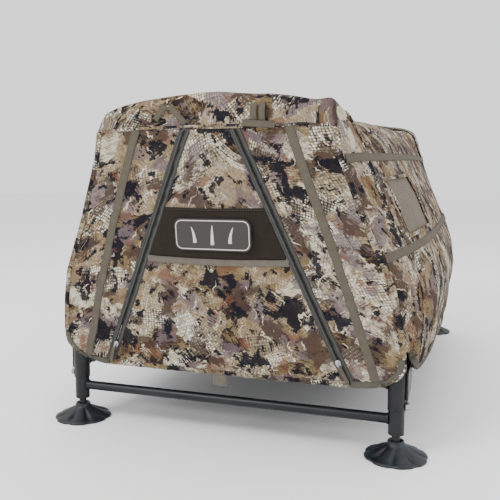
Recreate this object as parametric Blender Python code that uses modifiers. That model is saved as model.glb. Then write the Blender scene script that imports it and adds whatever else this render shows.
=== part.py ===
"""Field blind for a dog: a tube-framed stand on four adjustable legs with a folding fabric cabin.

Metres, +Z up.  The front door faces -Y, +X is on the viewer's right when looking at that door.
The origin is on the ground, under the middle of the stand.
"""
import math

import bmesh
import bpy
from mathutils import Matrix, Vector

COLLECTION = "field_blind"
GAP = 0.0003

# Stand
LEG_X = 0.286
LEG_Y = 0.470
RAIL_Z = 0.105
END_RAIL_Z = 0.120
RAIL_R = 0.010
TUBE_WALL = 0.0013
LEG_R = 0.0127
LEG_BOTTOM = 0.040
LEG_TOP = 0.187
SLEEVE_R = LEG_R + GAP + TUBE_WALL
SLEEVE_BOTTOM = 0.076
SLEEVE_TOP = 0.152
CROSS_Z = 0.061
CROSS_R = 0.008
DECK_THICK = 0.003
DECK_NOTCH = 0.024
LOCK_Z = 0.084
LOCK_HEAD_R = 0.006
LOCK_HEAD_THICK = 0.006

# Feet
FOOT_R = 0.051
FOOT_RIM = 0.005
FOOT_HEIGHT = 0.027
FOOT_NECK_R = 0.0125
FOOT_FLOOR = 0.004
STUD_R = 0.0067
STUD_PLUG = 0.020
STUD_COLLAR = 0.003
BALL_R = 0.0085
BALL_Z = 0.020

# Folding hoops
HOOP_R = 0.0065
PIVOT_X = 0.292
PIVOT_Y = 0.420
PIVOT_Z = 0.132
HOOP_TOP_Y = 0.515
HOOP_TOP_Z = 0.551
HOOP_TAIL = 0.010
BRACKET_X = LEG_X + SLEEVE_R + GAP
BRACKET_THICK = 0.003
BRACKET_REACH = 0.004
BRACKET_FOOT = (0.093, 0.137)
BRACKET_WAIST = (0.006, -0.033)
BRACKET_NOSE = [(-0.012, -0.017), (-0.013, 0.006), (-0.004, 0.013), (0.012, 0.012)]
BOLT_R = 0.003
BOLT_CLEAR = 0.0003
BOLT_HEAD_R = 0.006
BOLT_HEAD_THICK = 0.0042
NUT_R = 0.0055
NUT_THICK = 0.0045

# Cover
CLOTH = 0.0025
HEM_Z = 0.112
END_Y = 0.489
END_SLOPE = 0.130
SEAM_Z = 0.518
CROWN_Z = 0.572
REAR_STRETCH = 1.094
BAND_DEPTH = 0.077
BAND_MEASURED_AT = 0.200
SEAM_SHARE = 0.0012
ARCH_RISE = 0.055
ARCH_LENGTH = 0.090
ROOF_DIP = 0.018
SIDE_HEM_Z = 0.127
# Half-widths and heights of the cover's section, from hem to crown, at its ends and in the middle.
END_SECTION = [(0.298, 0.127), (0.299, 0.174), (0.293, 0.227), (0.283, 0.277), (0.245, 0.366),
               (0.205, 0.475), (0.197, 0.518), (0.179, 0.548), (0.100, 0.565), (0.0, 0.572)]
MID_SECTION = [(0.326, 0.127), (0.342, 0.182), (0.351, 0.237), (0.343, 0.292), (0.304, 0.382),
               (0.252, 0.482), (0.228, 0.524), (0.200, 0.546), (0.112, 0.559), (0.0, 0.563)]
# How much wider each row of the section is at the rear, and the same for the points of the rear hoop.
REAR_SPREAD = [0, 0, 0, 0, 0.014, 0.028, 0.028, 0.024, 0.010, 0]
REAR_HOOP_SPREAD = [0, 0, 0, 0, 0, 0.014, 0.026, 0.028, 0.027, 0.025, 0.018, 0.008, 0]
SEAM_ROW = 6
BULGE_POWER = 4.0
STATIONS = 10

# Doors
DOOR_HALF_TOP = 0.040
DOOR_HALF_BOTTOM = 0.216
ZIP_GAP = 0.001
CORNER_ROUND = 0.042
SLIDER_SIZE = (0.007, 0.003, 0.022)
SLIDER_RISE = 0.035
TAB_SIZE = (0.024, 0.0024, 0.030)
EMBLEM_SIZE = (0.130, 0.0016, 0.052)
EMBLEM_Z = 0.352
EMBLEM_CORNER = 0.012
WINDOW_Y = (-0.392, -0.200)
WINDOW_Z = (0.356, 0.440)

SIDES = {"left": -1, "right": 1}
ENDS = {"front": -1, "rear": 1}
ROUND = 20
SMALL_ROUND = 12

MATERIALS = {
    "camo_cloth": ((0.42, 0.36, 0.30), 0.9, 0.0),
    "coated_steel": ((0.045, 0.047, 0.052), 0.45, 0.6),
    "zinc_steel": ((0.55, 0.55, 0.54), 0.35, 1.0),
    "foot_rubber": ((0.025, 0.032, 0.040), 0.7, 0.0),
    "deck_mesh": ((0.035, 0.037, 0.040), 0.8, 0.0),
    "window_mesh": ((0.30, 0.28, 0.23), 0.85, 0.0),
    "webbing": ((0.20, 0.18, 0.15), 0.85, 0.0),
    "emblem": ((0.62, 0.61, 0.56), 0.6, 0.0),
}


# ---------------------------------------------------------------- scene helpers
def start_scene():
    for obj in list(bpy.data.objects):
        bpy.data.objects.remove(obj, do_unlink=True)
    parts = bpy.data.collections.new(COLLECTION)
    cutters = bpy.data.collections.new("cutters")
    for collection in (parts, cutters):
        bpy.context.scene.collection.children.link(collection)
    return parts, cutters


PARTS, CUTTERS = start_scene()


def material(slot):
    if slot in bpy.data.materials:
        return bpy.data.materials[slot]
    colour, roughness, metallic = MATERIALS[slot]
    made = bpy.data.materials.new(slot)
    made.use_nodes = True
    shader = made.node_tree.nodes["Principled BSDF"]
    shader.inputs["Base Color"].default_value = (*colour, 1.0)
    shader.inputs["Roughness"].default_value = roughness
    shader.inputs["Metallic"].default_value = metallic
    return made


def add_part(name, data, slot, place=None, pivot=None):
    """Link an object for this sub-part; `pivot` moves its origin onto its joint's axis."""
    obj = bpy.data.objects.new(name, data)
    PARTS.objects.link(obj)
    data.materials.append(material(slot))
    if place is not None:
        obj.matrix_world = place
    if pivot is not None:
        inverse = Matrix.Translation(-Vector(pivot)) @ obj.matrix_world
        data.transform(inverse)
        obj.matrix_world = Matrix.Translation(Vector(pivot))
    return obj


def shade_round(mesh):
    mesh.shade_smooth()
    mesh.set_sharp_from_angle(angle=math.radians(40))


def aim(direction):
    """Rotation that takes +Z to `direction`."""
    return Vector((0, 0, 1)).rotation_difference(Vector(direction)).to_matrix().to_4x4()


# ---------------------------------------------------------------- shape helpers
def turned(name, profile, slot, at=(0, 0, 0), direction=(0, 0, 1), pivot=None, steps=ROUND):
    """A solid turned about `direction`; the profile's (radius, height) points go down its outer side."""
    mesh = bpy.data.meshes.new(name)
    build = bmesh.new()
    verts = [build.verts.new((radius, 0, height)) for radius, height in profile]
    for index, vert in enumerate(verts):
        following = (index + 1) % len(verts)
        if profile[index][0] > 0 or profile[following][0] > 0:
            build.edges.new((vert, verts[following]))
    build.to_mesh(mesh)
    build.free()
    place = Matrix.Translation(Vector(at)) @ aim(direction)
    if pivot is None:
        obj = add_part(name, mesh, slot, place)
    else:
        holder = bpy.data.objects.new(f"{name}_axis", None)
        PARTS.objects.link(holder)
        holder.matrix_world = Matrix.Translation(Vector(pivot))
        obj = add_part(name, mesh, slot, place)
        obj.parent = holder
        obj.matrix_parent_inverse = holder.matrix_world.inverted()
    screw = obj.modifiers.new("turn", "SCREW")
    screw.axis = "Z"
    screw.steps = steps
    screw.render_steps = steps
    screw.use_merge_vertices = True
    screw.merge_threshold = 0.00001
    screw.use_smooth_shade = True
    return obj


def straight_tube(name, start, end, radius, slot):
    """An open-ended tube of the stand's wall thickness between two points."""
    run = Vector(end) - Vector(start)
    inner = radius - TUBE_WALL
    profile = [(inner, run.length), (radius, run.length), (radius, 0), (inner, 0)]
    return turned(name, profile, slot, start, run)


def bent_rod(name, points, radius, slot):
    """A round rod along a polyline of closely spaced points, as a mesh that can be drilled."""
    data = bpy.data.curves.new(name, "CURVE")
    data.dimensions = "3D"
    data.bevel_depth = radius
    data.bevel_resolution = 2
    data.use_fill_caps = True
    spline = data.splines.new("POLY")
    spline.points.add(len(points) - 1)
    for point, place in zip(spline.points, points):
        point.co = (*place, 1.0)
    return as_mesh(add_part(name, data, slot))


def as_mesh(obj):
    """Turn a curve object into a mesh object with welded caps, so that it can be drilled."""
    name, slot = obj.name, obj.data.materials[0].name
    evaluated = obj.evaluated_get(bpy.context.evaluated_depsgraph_get())
    mesh = bpy.data.meshes.new_from_object(evaluated)
    place = obj.matrix_world.copy()
    bpy.data.objects.remove(obj, do_unlink=True)
    build = bmesh.new()
    build.from_mesh(mesh)
    bmesh.ops.remove_doubles(build, verts=build.verts, dist=1e-6)
    bmesh.ops.recalc_face_normals(build, faces=build.faces)
    build.to_mesh(mesh)
    build.free()
    mesh.materials.clear()
    shade_round(mesh)
    return add_part(name, mesh, slot, place)


def flat_outline(name, outline, thickness, slot, place, pivot=None):
    """A flat piece cut to `outline`, centred on its own plane."""
    data = bpy.data.curves.new(name, "CURVE")
    data.dimensions = "2D"
    data.fill_mode = "BOTH"
    data.extrude = thickness / 2
    spline = data.splines.new("POLY")
    spline.points.add(len(outline) - 1)
    for point, (across, up) in zip(spline.points, outline):
        point.co = (across, up, 0, 1)
    spline.use_cyclic_u = True
    return add_part(name, data, slot, place, pivot)


def box(name, size, slot, place, pivot=None):
    mesh = bpy.data.meshes.new(name)
    build = bmesh.new()
    bmesh.ops.create_cube(build, size=1, matrix=Matrix.Diagonal((*size, 1)))
    build.to_mesh(mesh)
    build.free()
    return add_part(name, mesh, slot, place, pivot)


def cutter(name, mesh_maker, place):
    mesh = bpy.data.meshes.new(name)
    build = bmesh.new()
    mesh_maker(build)
    bmesh.ops.recalc_face_normals(build, faces=build.faces)
    build.to_mesh(mesh)
    build.free()
    obj = bpy.data.objects.new(name, mesh)
    CUTTERS.objects.link(obj)
    obj.matrix_world = place
    obj.hide_render = True
    obj.display_type = "WIRE"
    return obj


def boolean(obj, tool, operation):
    modifier = obj.modifiers.new(operation.lower(), "BOOLEAN")
    modifier.operation = operation
    modifier.solver = "EXACT"
    modifier.object = tool


def drill(obj, centre, length, label="hole"):
    """A bolt's clearance hole through `obj` along X."""
    radius = BOLT_R + BOLT_CLEAR

    def rod(build):
        bmesh.ops.create_cone(build, cap_ends=True, segments=SMALL_ROUND, radius1=radius,
                              radius2=radius, depth=length)
    place = Matrix.Translation(Vector(centre)) @ Matrix.Rotation(math.pi / 2, 4, "Y")
    boolean(obj, cutter(f"{obj.name}_{label}", rod, place), "DIFFERENCE")


# ---------------------------------------------------------------- cover geometry
def mix(first, second, share):
    return first + (second - first) * share


def rear_height(z):
    """The rear end of the cabin is the front end stretched upwards."""
    return SIDE_HEM_Z + (z - SIDE_HEM_Z) * REAR_STRETCH


def end_height(end, z):
    return rear_height(z) if end > 0 else z


def end_slope(end):
    """Slope of an end wall, chosen so both ends overhang the stand by the same amount."""
    return END_SLOPE * (end_height(-1, CROWN_Z) - HEM_Z) / (end_height(end, CROWN_Z) - HEM_Z)


def end_y(end, z):
    """Y of an end wall's outer face at height z."""
    return end * (END_Y + end_slope(end) * (z - HEM_Z))


def wall_place(end):
    """Frame of an end wall: local X across, local Y up the slope, outer face at local z = 0."""
    up = Vector((0, end * end_slope(end), 1)).normalized()
    outward = Vector((0, end, -end_slope(end))).normalized()
    across = up.cross(outward)
    basis = Matrix((across, up, outward)).transposed().to_4x4()
    return Matrix.Translation((0, end * END_Y, HEM_Z)) @ basis


def wall_point(end, across, z, depth=0.0):
    """World point on an end wall, `depth` outside its outer face."""
    rise = (z - HEM_Z) * math.hypot(1, end_slope(end))
    local = Vector((-end * across, rise, depth))
    return wall_place(end) @ local


def wall_outline(end, points):
    """Outline of (across, z) points turned into the end wall's own plane."""
    stretch = math.hypot(1, end_slope(end))
    return [(-end * across, (z - HEM_Z) * stretch) for across, z in points]


def section_point(row, share):
    """Point of the cover's section at `share` of the way from the front wall to the rear wall."""
    along = 2 * share - 1
    bulge = 1 - abs(along) ** BULGE_POWER
    front_x, front_z = END_SECTION[row]
    end_x = front_x + share * REAR_SPREAD[row]
    mid_x, mid_z = MID_SECTION[row]
    end_z = mix(front_z, rear_height(front_z), share)
    x = mix(end_x, mid_x, bulge)
    z = mix(end_z, mix(mid_z, rear_height(mid_z), share) - 0.5 * ROOF_DIP * (row >= SEAM_ROW), bulge)
    return x, z


def end_section(end):
    """Half-widths and heights of an end wall, from hem to crown."""
    spread = REAR_SPREAD if end > 0 else [0] * len(END_SECTION)
    return [(x + extra, end_height(end, z)) for (x, z), extra in zip(END_SECTION, spread)]


def cover_point(row, share, side, inset):
    """World point of the cover; `inset` keeps it clear of the end walls."""
    x, z = section_point(row, share)
    y = mix(end_y(-1, z) + inset, end_y(1, z) - inset, share)
    if row == 0:
        reach = (abs(end_y(-1, z)) - abs(y)) / ARCH_LENGTH
        if reach < 1:
            z += ARCH_RISE * math.cos(math.pi / 2 * reach) ** 2
            x = mix(x, section_point(1, share)[0], 0.8)
    return Vector((side * x, y, z))


def loft(name, grid, slot, thickness=CLOTH):
    """An open surface through a grid of points, thickened towards the middle of the cabin."""
    mesh = bpy.data.meshes.new(name)
    build = bmesh.new()
    rows = [[build.verts.new(point) for point in line] for line in grid]
    for low, high in zip(rows, rows[1:]):
        for index in range(len(low) - 1):
            build.faces.new((low[index], low[index + 1], high[index + 1], high[index]))
    bmesh.ops.recalc_face_normals(build, faces=build.faces)
    middle = Vector((0, 0, 0.3))
    outward = sum(face.normal.dot(face.calc_center_median() - middle) for face in build.faces)
    if outward < 0:
        bmesh.ops.reverse_faces(build, faces=build.faces)
    build.to_mesh(mesh)
    build.free()
    shade_round(mesh)
    obj = add_part(name, mesh, slot)
    shell = obj.modifiers.new("cloth", "SOLIDIFY")
    shell.thickness = thickness
    shell.offset = -1
    shell.use_even_offset = True
    return obj


BAND_SHARE = BAND_DEPTH / (2 * (END_Y + END_SLOPE * BAND_MEASURED_AT))


def shares(first, last, count):
    return [mix(first, last, index / (count - 1)) for index in range(count)]


# ---------------------------------------------------------------- stand
def corner_name(kind, end_word, side_word):
    return f"{kind}_{end_word}_{side_word}"


def make_rails():
    reach_x = LEG_X - SLEEVE_R - GAP
    reach_y = LEG_Y - SLEEVE_R - GAP
    for word, end in ENDS.items():
        start = (-reach_x, end * LEG_Y, END_RAIL_Z)
        straight_tube(f"{word}_rail", start, (reach_x, end * LEG_Y, END_RAIL_Z), RAIL_R, "coated_steel")
    for word, side in SIDES.items():
        start = (side * LEG_X, -reach_y, RAIL_Z)
        straight_tube(f"{word}_rail", start, (side * LEG_X, reach_y, RAIL_Z), RAIL_R, "coated_steel")


def make_corner(end_word, end, side_word, side):
    """Sleeve, hoop bracket and lock bolt of one corner."""
    x, y = side * LEG_X, end * LEG_Y
    sleeve = straight_tube(corner_name("corner_sleeve", end_word, side_word), (x, y, SLEEVE_BOTTOM),
                           (x, y, SLEEVE_TOP), SLEEVE_R, "coated_steel")
    wall_x = side * (LEG_X + SLEEVE_R - TUBE_WALL / 2)
    drill(sleeve, (wall_x, y, LOCK_Z), 4 * TUBE_WALL)
    make_lock_bolt(corner_name("lock_bolt", end_word, side_word), x, y, side)
    make_bracket(corner_name("hoop_bracket", end_word, side_word), end, side)
    make_pivot_bolt(corner_name("hoop_pivot_bolt", end_word, side_word), end, side)


def make_lock_bolt(name, x, y, side):
    """Bolt through the sleeve whose tip bears on the leg tube."""
    tip = LEG_R + GAP
    seat = SLEEVE_R + GAP
    top = seat + LOCK_HEAD_THICK
    profile = [(0, top), (0.75 * LOCK_HEAD_R, top), (LOCK_HEAD_R, mix(seat, top, 0.7)),
               (LOCK_HEAD_R, seat), (BOLT_R, seat), (BOLT_R, tip), (0, tip)]
    turned(name, profile, "zinc_steel", (x, y, LOCK_Z), (side, 0, 0), (x, y, LOCK_Z), SMALL_ROUND)


def make_bracket(name, end, side):
    """Plate welded to the sleeve, with a rounded nose that carries the hoop's pivot bolt."""
    bottom, top = BRACKET_FOOT
    nose = [(PIVOT_Y + y, PIVOT_Z + z) for y, z in (BRACKET_WAIST, *BRACKET_NOSE)]
    outline = [(LEG_Y + BRACKET_REACH, bottom), *nose, (LEG_Y + BRACKET_REACH, top)]
    centre_x = side * (BRACKET_X + BRACKET_THICK / 2)
    basis = Matrix(((0, end, 0), (0, 0, 1), (end, 0, 0))).transposed().to_4x4()
    place = Matrix.Translation((centre_x, 0, 0)) @ basis
    plate = as_mesh(flat_outline(name, outline, BRACKET_THICK, "coated_steel", place))
    drill(plate, (centre_x, end * PIVOT_Y, PIVOT_Z), 3 * BRACKET_THICK)


def make_pivot_bolt(name, end, side):
    """Pivot bolt with its lock nut, through the bracket and the hoop's foot."""
    head = BRACKET_X + BRACKET_THICK + GAP
    nut = PIVOT_X - HOOP_R - GAP
    top = head + BOLT_HEAD_THICK
    end_of_nut = nut - NUT_THICK
    profile = [(0, top), (0.6 * BOLT_HEAD_R, mix(head, top, 0.95)), (BOLT_HEAD_R, mix(head, top, 0.5)),
               (BOLT_HEAD_R, head), (BOLT_R, head), (BOLT_R, nut), (NUT_R, nut), (NUT_R, end_of_nut),
               (0, end_of_nut)]
    turned(name, profile, "zinc_steel", (0, end * PIVOT_Y, PIVOT_Z), (side, 0, 0), steps=SMALL_ROUND)


def make_deck():
    """Mesh deck between the side rails that rises to the end rails, notched round the sleeves."""
    half_x = LEG_X - RAIL_R - GAP
    half_y = LEG_Y - RAIL_R - GAP
    low = RAIL_Z - DECK_THICK / 2
    high = END_RAIL_Z - DECK_THICK / 2
    stations = [(-half_y, half_x - DECK_NOTCH, high), (DECK_NOTCH - half_y, half_x, low),
                (half_y - DECK_NOTCH, half_x, low), (half_y, half_x - DECK_NOTCH, high)]
    grid = [[Vector((-reach, y, z)), Vector((reach, y, z))] for y, reach, z in stations]
    loft("mesh_deck", grid, "deck_mesh", DECK_THICK)


# ---------------------------------------------------------------- legs and feet
def make_leg_frame(end_word, end):
    reach = LEG_X - LEG_R - GAP
    straight_tube(f"{end_word}_cross_tube", (-reach, end * LEG_Y, CROSS_Z),
                  (reach, end * LEG_Y, CROSS_Z), CROSS_R, "coated_steel")
    for side_word, side in SIDES.items():
        x, y = side * LEG_X, end * LEG_Y
        straight_tube(corner_name("leg_tube", end_word, side_word), (x, y, LEG_BOTTOM),
                      (x, y, LEG_TOP), LEG_R, "coated_steel")
        make_stud(corner_name("foot_stud", end_word, side_word), x, y)
        make_foot(corner_name("mud_foot", end_word, side_word), x, y)


def make_stud(name, x, y):
    """Plug in the leg's open end, with a neck and a ball that the foot snaps onto."""
    bore = LEG_R - TUBE_WALL - GAP
    collar_bottom = LEG_BOTTOM - GAP - STUD_COLLAR
    ball = [(BALL_R * math.sin(angle), BALL_Z + BALL_R * math.cos(angle))
            for angle in (math.radians(step) for step in (55, 75, 95, 115, 135, 155))]
    plug_top = LEG_BOTTOM + STUD_PLUG
    profile = [(0, plug_top), (bore, plug_top), (bore, LEG_BOTTOM - GAP),
               (LEG_R, LEG_BOTTOM - GAP), (LEG_R, collar_bottom), (STUD_R, collar_bottom),
               *ball, (0, BALL_Z - BALL_R)]
    turned(name, profile, "coated_steel", (x, y, 0), (0, 0, 1), (x, y, BALL_Z))


def make_foot(name, x, y):
    """Dished rubber mud foot, open underneath and above the ball socket."""
    socket_r = BALL_R + 2 * GAP
    floor = BALL_Z - socket_r
    outside = [(FOOT_NECK_R, FOOT_HEIGHT), (1.1 * FOOT_NECK_R, 0.80 * FOOT_HEIGHT),
               (0.43 * FOOT_R, 0.61 * FOOT_HEIGHT), (0.84 * FOOT_R, 0.26 * FOOT_HEIGHT),
               (FOOT_R, 0.13 * FOOT_HEIGHT), (FOOT_R, 0)]
    underside = [(FOOT_R - FOOT_RIM, 0), (FOOT_R - 2 * FOOT_RIM, 0.13 * FOOT_HEIGHT),
                 (1.1 * FOOT_NECK_R, floor - FOOT_FLOOR), (0, floor - FOOT_FLOOR)]
    socket = [(socket_r * math.sin(angle), BALL_Z + socket_r * math.cos(angle))
              for angle in (math.radians(step) for step in (160, 140, 120, 100, 80, 62))]
    mouth = socket_r + 2 * GAP
    profile = [(mouth, FOOT_HEIGHT), *outside, *underside, (0, floor), *socket]
    turned(name, profile, "foot_rubber", (x, y, 0), pivot=(x, y, BALL_Z))


# ---------------------------------------------------------------- hoops
def hoop_side():
    """Half of a hoop as (half-width, height) points from its foot to the middle of its top."""
    return [(PIVOT_X, PIVOT_Z - HOOP_TAIL), (PIVOT_X, PIVOT_Z), (PIVOT_X, 0.187), (0.289, 0.227),
            (0.280, 0.269), (0.243, 0.366), (0.201, 0.469), (0.190, 0.499), (0.177, 0.520),
            (0.156, 0.533), (0.118, 0.542), (0.060, 0.549), (0.0, HOOP_TOP_Z)]


def make_hoop(end_word, end):
    lean = (HOOP_TOP_Y - PIVOT_Y) / (end_height(end, HOOP_TOP_Z) - PIVOT_Z)
    half = []
    for (x, z), extra in zip(hoop_side(), REAR_HOOP_SPREAD):
        height = z if z <= PIVOT_Z else PIVOT_Z + (z - PIVOT_Z) * hoop_stretch(end)
        half.append((x + extra * (end > 0), end * (PIVOT_Y + lean * (height - PIVOT_Z)), height))
    points = [(-x, y, z) for x, y, z in half] + list(reversed(half[:-1]))
    hoop = bent_rod(f"{end_word}_hoop", points, HOOP_R, "coated_steel")
    pivot = Vector((0, end * PIVOT_Y, PIVOT_Z))
    hoop.data.transform(Matrix.Translation(-pivot))
    hoop.location = pivot
    for side_word, side in SIDES.items():
        drill(hoop, (side * PIVOT_X, end * PIVOT_Y, PIVOT_Z), 4 * HOOP_R, f"{side_word}_hole")


def hoop_stretch(end):
    return (end_height(end, HOOP_TOP_Z) - PIVOT_Z) / (HOOP_TOP_Z - PIVOT_Z)


# ---------------------------------------------------------------- end walls
def hinge_z(end):
    return end_height(end, SEAM_Z)


def door_half_width(end, z):
    share = (z - HEM_Z) / (hinge_z(end) - HEM_Z)
    return mix(DOOR_HALF_BOTTOM, DOOR_HALF_TOP, share)


def make_end_wall(end_word, end):
    """Two side panels, a visor above the door, the door itself and its small parts."""
    place = wall_place(end) @ Matrix.Translation((0, 0, -CLOTH / 2))
    pivot = (0, end * PIVOT_Y, PIVOT_Z)
    for side_word, side in SIDES.items():
        outline = wall_outline(end, panel_outline(end, side))
        flat_outline(f"{end_word}_panel_{side_word}", outline, CLOTH, "camo_cloth", place, pivot)
    flat_outline(f"{end_word}_visor", wall_outline(end, visor_outline(end)), CLOTH, "camo_cloth",
                 place, pivot)
    hinge = wall_point(end, 0, hinge_z(end))
    top = hinge_z(end) - ZIP_GAP
    door = [(-DOOR_HALF_BOTTOM, HEM_Z), (DOOR_HALF_BOTTOM, HEM_Z), (door_half_width(end, top), top),
            (-door_half_width(end, top), top)]
    flat_outline(f"{end_word}_door", wall_outline(end, door), CLOTH, "camo_cloth", place, hinge)
    make_tab(end_word, end, hinge)
    for side_word, side in SIDES.items():
        make_slider(f"{end_word}_zip_slider_{side_word}", end, side)


def panel_outline(end, side):
    """From the zip line out to the cover's edge, with a rounded lower corner."""
    zip_top = door_half_width(end, hinge_z(end)) + ZIP_GAP
    zip_bottom = DOOR_HALF_BOTTOM + ZIP_GAP
    corner = END_SECTION[1][0] - CORNER_ROUND
    arc = [(corner + CORNER_ROUND * math.sin(angle), HEM_Z + CORNER_ROUND * (1 - math.cos(angle)))
           for angle in (math.radians(step) for step in (0, 22, 45, 68, 90))]
    edge = end_section(end)[1:SEAM_ROW + 1]
    outline = [(zip_bottom, HEM_Z), *arc, *edge, (zip_top, hinge_z(end))]
    return [(side * x, z) for x, z in outline]


def visor_outline(end):
    """The hood's front face, from the door's hinge seam up to the crown."""
    half = end_section(end)[SEAM_ROW:]
    seam = half[0][1] + ZIP_GAP
    right = [(half[0][0], seam), *half[1:]]
    left = [(-x, z) for x, z in reversed(right[:-1])]
    return right + left


def wall_frame(end, across, z, depth):
    """Placement on an end wall, turned like the wall: local Y points out, local Z up the slope."""
    up = Vector((0, end * end_slope(end), 1)).normalized()
    outward = Vector((0, end, -end_slope(end))).normalized()
    basis = Matrix((outward.cross(up), outward, up)).transposed().to_4x4()
    return Matrix.Translation(wall_point(end, across, z, depth)) @ basis


def make_tab(end_word, end, hinge):
    """Webbing pull tab that hangs behind the door's bottom edge."""
    depth = -CLOTH - GAP - TAB_SIZE[1] / 2
    box(f"{end_word}_door_tab", TAB_SIZE, "webbing", wall_frame(end, 0, HEM_Z, depth), hinge)


def make_slider(name, end, side):
    """Zip slider parked at the closed end of its zip, on the door's edge."""
    z = HEM_Z + SLIDER_RISE
    across = side * (door_half_width(end, z) - SLIDER_SIZE[0])
    box(name, SLIDER_SIZE, "zinc_steel", slider_place(end, side, across, z))


def slider_place(end, side, across, z):
    slope = math.atan2(DOOR_HALF_BOTTOM - DOOR_HALF_TOP, hinge_z(end) - HEM_Z)
    frame = wall_frame(end, across, z, GAP + SLIDER_SIZE[1] / 2)
    return frame @ Matrix.Rotation(-side * end * slope, 4, "Y")


def make_emblem():
    """Plain raised badge on the front door, with rounded corners."""
    width, thickness, height = EMBLEM_SIZE
    corner = EMBLEM_CORNER
    centres = [(1, 1, 0), (-1, 1, 90), (-1, -1, 180), (1, -1, 270)]
    outline = []
    for across, up, start in centres:
        for step in (0, 30, 60, 90):
            angle = math.radians(start + step)
            outline.append((across * (width / 2 - corner) + corner * math.cos(angle),
                            up * (height / 2 - corner) + corner * math.sin(angle)))
    rise = (EMBLEM_Z - HEM_Z) * math.hypot(1, end_slope(-1))
    place = wall_place(-1) @ Matrix.Translation((0, rise, GAP + thickness / 2))
    hinge = wall_point(-1, 0, hinge_z(-1))
    flat_outline("door_emblem", outline, thickness, "emblem", place, hinge)


# ---------------------------------------------------------------- cover shells
def make_band(end_word, end):
    """The arched sleeve of cloth that wraps over a hoop, from one hem over the top to the other."""
    first, last = (0.0, BAND_SHARE) if end < 0 else (1 - BAND_SHARE, 1.0)
    inset = GAP + CLOTH
    grid = []
    for share in shares(first, last, 4):
        half = [cover_point(row, share, 1, inset) for row in range(len(END_SECTION))]
        mirrored = [Vector((-point.x, point.y, point.z)) for point in half[:-1]]
        grid.append(mirrored + list(reversed(half)))
    band = loft(f"{end_word}_band", grid, "camo_cloth")
    pivot = Vector((0, end * PIVOT_Y, PIVOT_Z))
    band.data.transform(Matrix.Translation(-pivot))
    band.location = pivot


def side_grid(side):
    first = BAND_SHARE + SEAM_SHARE
    last = 1 - BAND_SHARE - SEAM_SHARE
    inset = GAP + CLOTH
    return [[cover_point(row, share, side, inset) for row in range(SEAM_ROW + 1)]
            for share in shares(first, last, STATIONS)]


def make_side(side_word, side):
    """Side wall with its window opening, and the mesh pane that fills it."""
    wall = loft(f"{side_word}_side_wall", side_grid(side), "camo_cloth")
    boolean(wall, window_cutter(side_word, side, 0.0), "DIFFERENCE")
    pane = loft(f"{side_word}_window_mesh", side_grid(side), "window_mesh")
    boolean(pane, window_cutter(side_word, side, GAP), "INTERSECT")


def window_cutter(side_word, side, shrink):
    size = Vector((0.30, WINDOW_Y[1] - WINDOW_Y[0] - 2 * shrink, WINDOW_Z[1] - WINDOW_Z[0] - 2 * shrink))
    centre = (side * 0.27, sum(WINDOW_Y) / 2, sum(WINDOW_Z) / 2)

    def block(build):
        bmesh.ops.create_cube(build, size=1, matrix=Matrix.Diagonal((*size, 1)))
    kind = "pane" if shrink else "opening"
    return cutter(f"{side_word}_window_{kind}", block, Matrix.Translation(centre))


def make_roof():
    """Roof between the two hoop bands, joining the side walls' top seams."""
    first = BAND_SHARE + SEAM_SHARE
    last = 1 - BAND_SHARE - SEAM_SHARE
    inset = GAP + CLOTH
    grid = []
    for share in shares(first, last, STATIONS):
        half = [cover_point(row, share, 1, inset) for row in range(SEAM_ROW, len(END_SECTION))]
        half[0] = mix(half[0], half[1], 0.05)
        mirrored = [Vector((-point.x, point.y, point.z)) for point in half[:-1]]
        grid.append(mirrored + list(reversed(half)))
    loft("roof", grid, "camo_cloth")


def main():
    make_rails()
    for end_word, end in ENDS.items():
        for side_word, side in SIDES.items():
            make_corner(end_word, end, side_word, side)
        make_leg_frame(end_word, end)
        make_hoop(end_word, end)
        make_end_wall(end_word, end)
        make_band(end_word, end)
    make_deck()
    make_emblem()
    for side_word, side in SIDES.items():
        make_side(side_word, side)
    make_roof()


main()
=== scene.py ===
"""Looks of the dog field blind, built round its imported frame.  Metres, +Z up, front door towards -Y."""
import math

import bmesh
import bpy
import numpy as np
from mathutils import Matrix, Vector, noise


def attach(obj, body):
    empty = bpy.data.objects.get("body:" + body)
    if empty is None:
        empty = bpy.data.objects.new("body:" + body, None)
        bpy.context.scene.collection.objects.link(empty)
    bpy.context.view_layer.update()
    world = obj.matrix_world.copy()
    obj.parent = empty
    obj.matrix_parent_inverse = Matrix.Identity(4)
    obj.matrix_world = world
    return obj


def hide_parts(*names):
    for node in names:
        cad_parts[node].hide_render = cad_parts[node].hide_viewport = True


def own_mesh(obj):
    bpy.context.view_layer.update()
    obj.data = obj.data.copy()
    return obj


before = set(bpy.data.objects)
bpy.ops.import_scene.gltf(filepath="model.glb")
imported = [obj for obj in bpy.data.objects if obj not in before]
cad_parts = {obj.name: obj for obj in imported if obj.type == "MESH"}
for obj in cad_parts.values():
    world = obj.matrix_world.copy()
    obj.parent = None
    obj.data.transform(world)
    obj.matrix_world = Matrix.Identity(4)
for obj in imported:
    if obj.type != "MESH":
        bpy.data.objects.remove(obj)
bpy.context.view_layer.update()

# ---------------------------------------------------------------- driving sizes
ENDS = {"front": -1, "rear": 1}
SIDES = {"left": -1, "right": 1}
HEM_Z = 0.112
END_Y = 0.489
END_SLOPE = 0.130
SEAM_Z = 0.518
CROWN_Z = 0.572
REAR_STRETCH = 1.094
SIDE_HEM_Z = 0.127
ARCH_RISE = 0.055
ARCH_LENGTH = 0.090
ROOF_DIP = 0.018
SINK_Z = 0.487
SINK_RAMP = 0.05
ROOF_SINKS = ((-0.37, 0.085, 0.016), (0.36, 0.11, 0.007))
BULGE_POWER = 4.0
BAND_SHARE = 0.0748
COVER_INSET = 0.0035
SEAM_ROW = 6
LAST_ROW = 9
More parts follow.
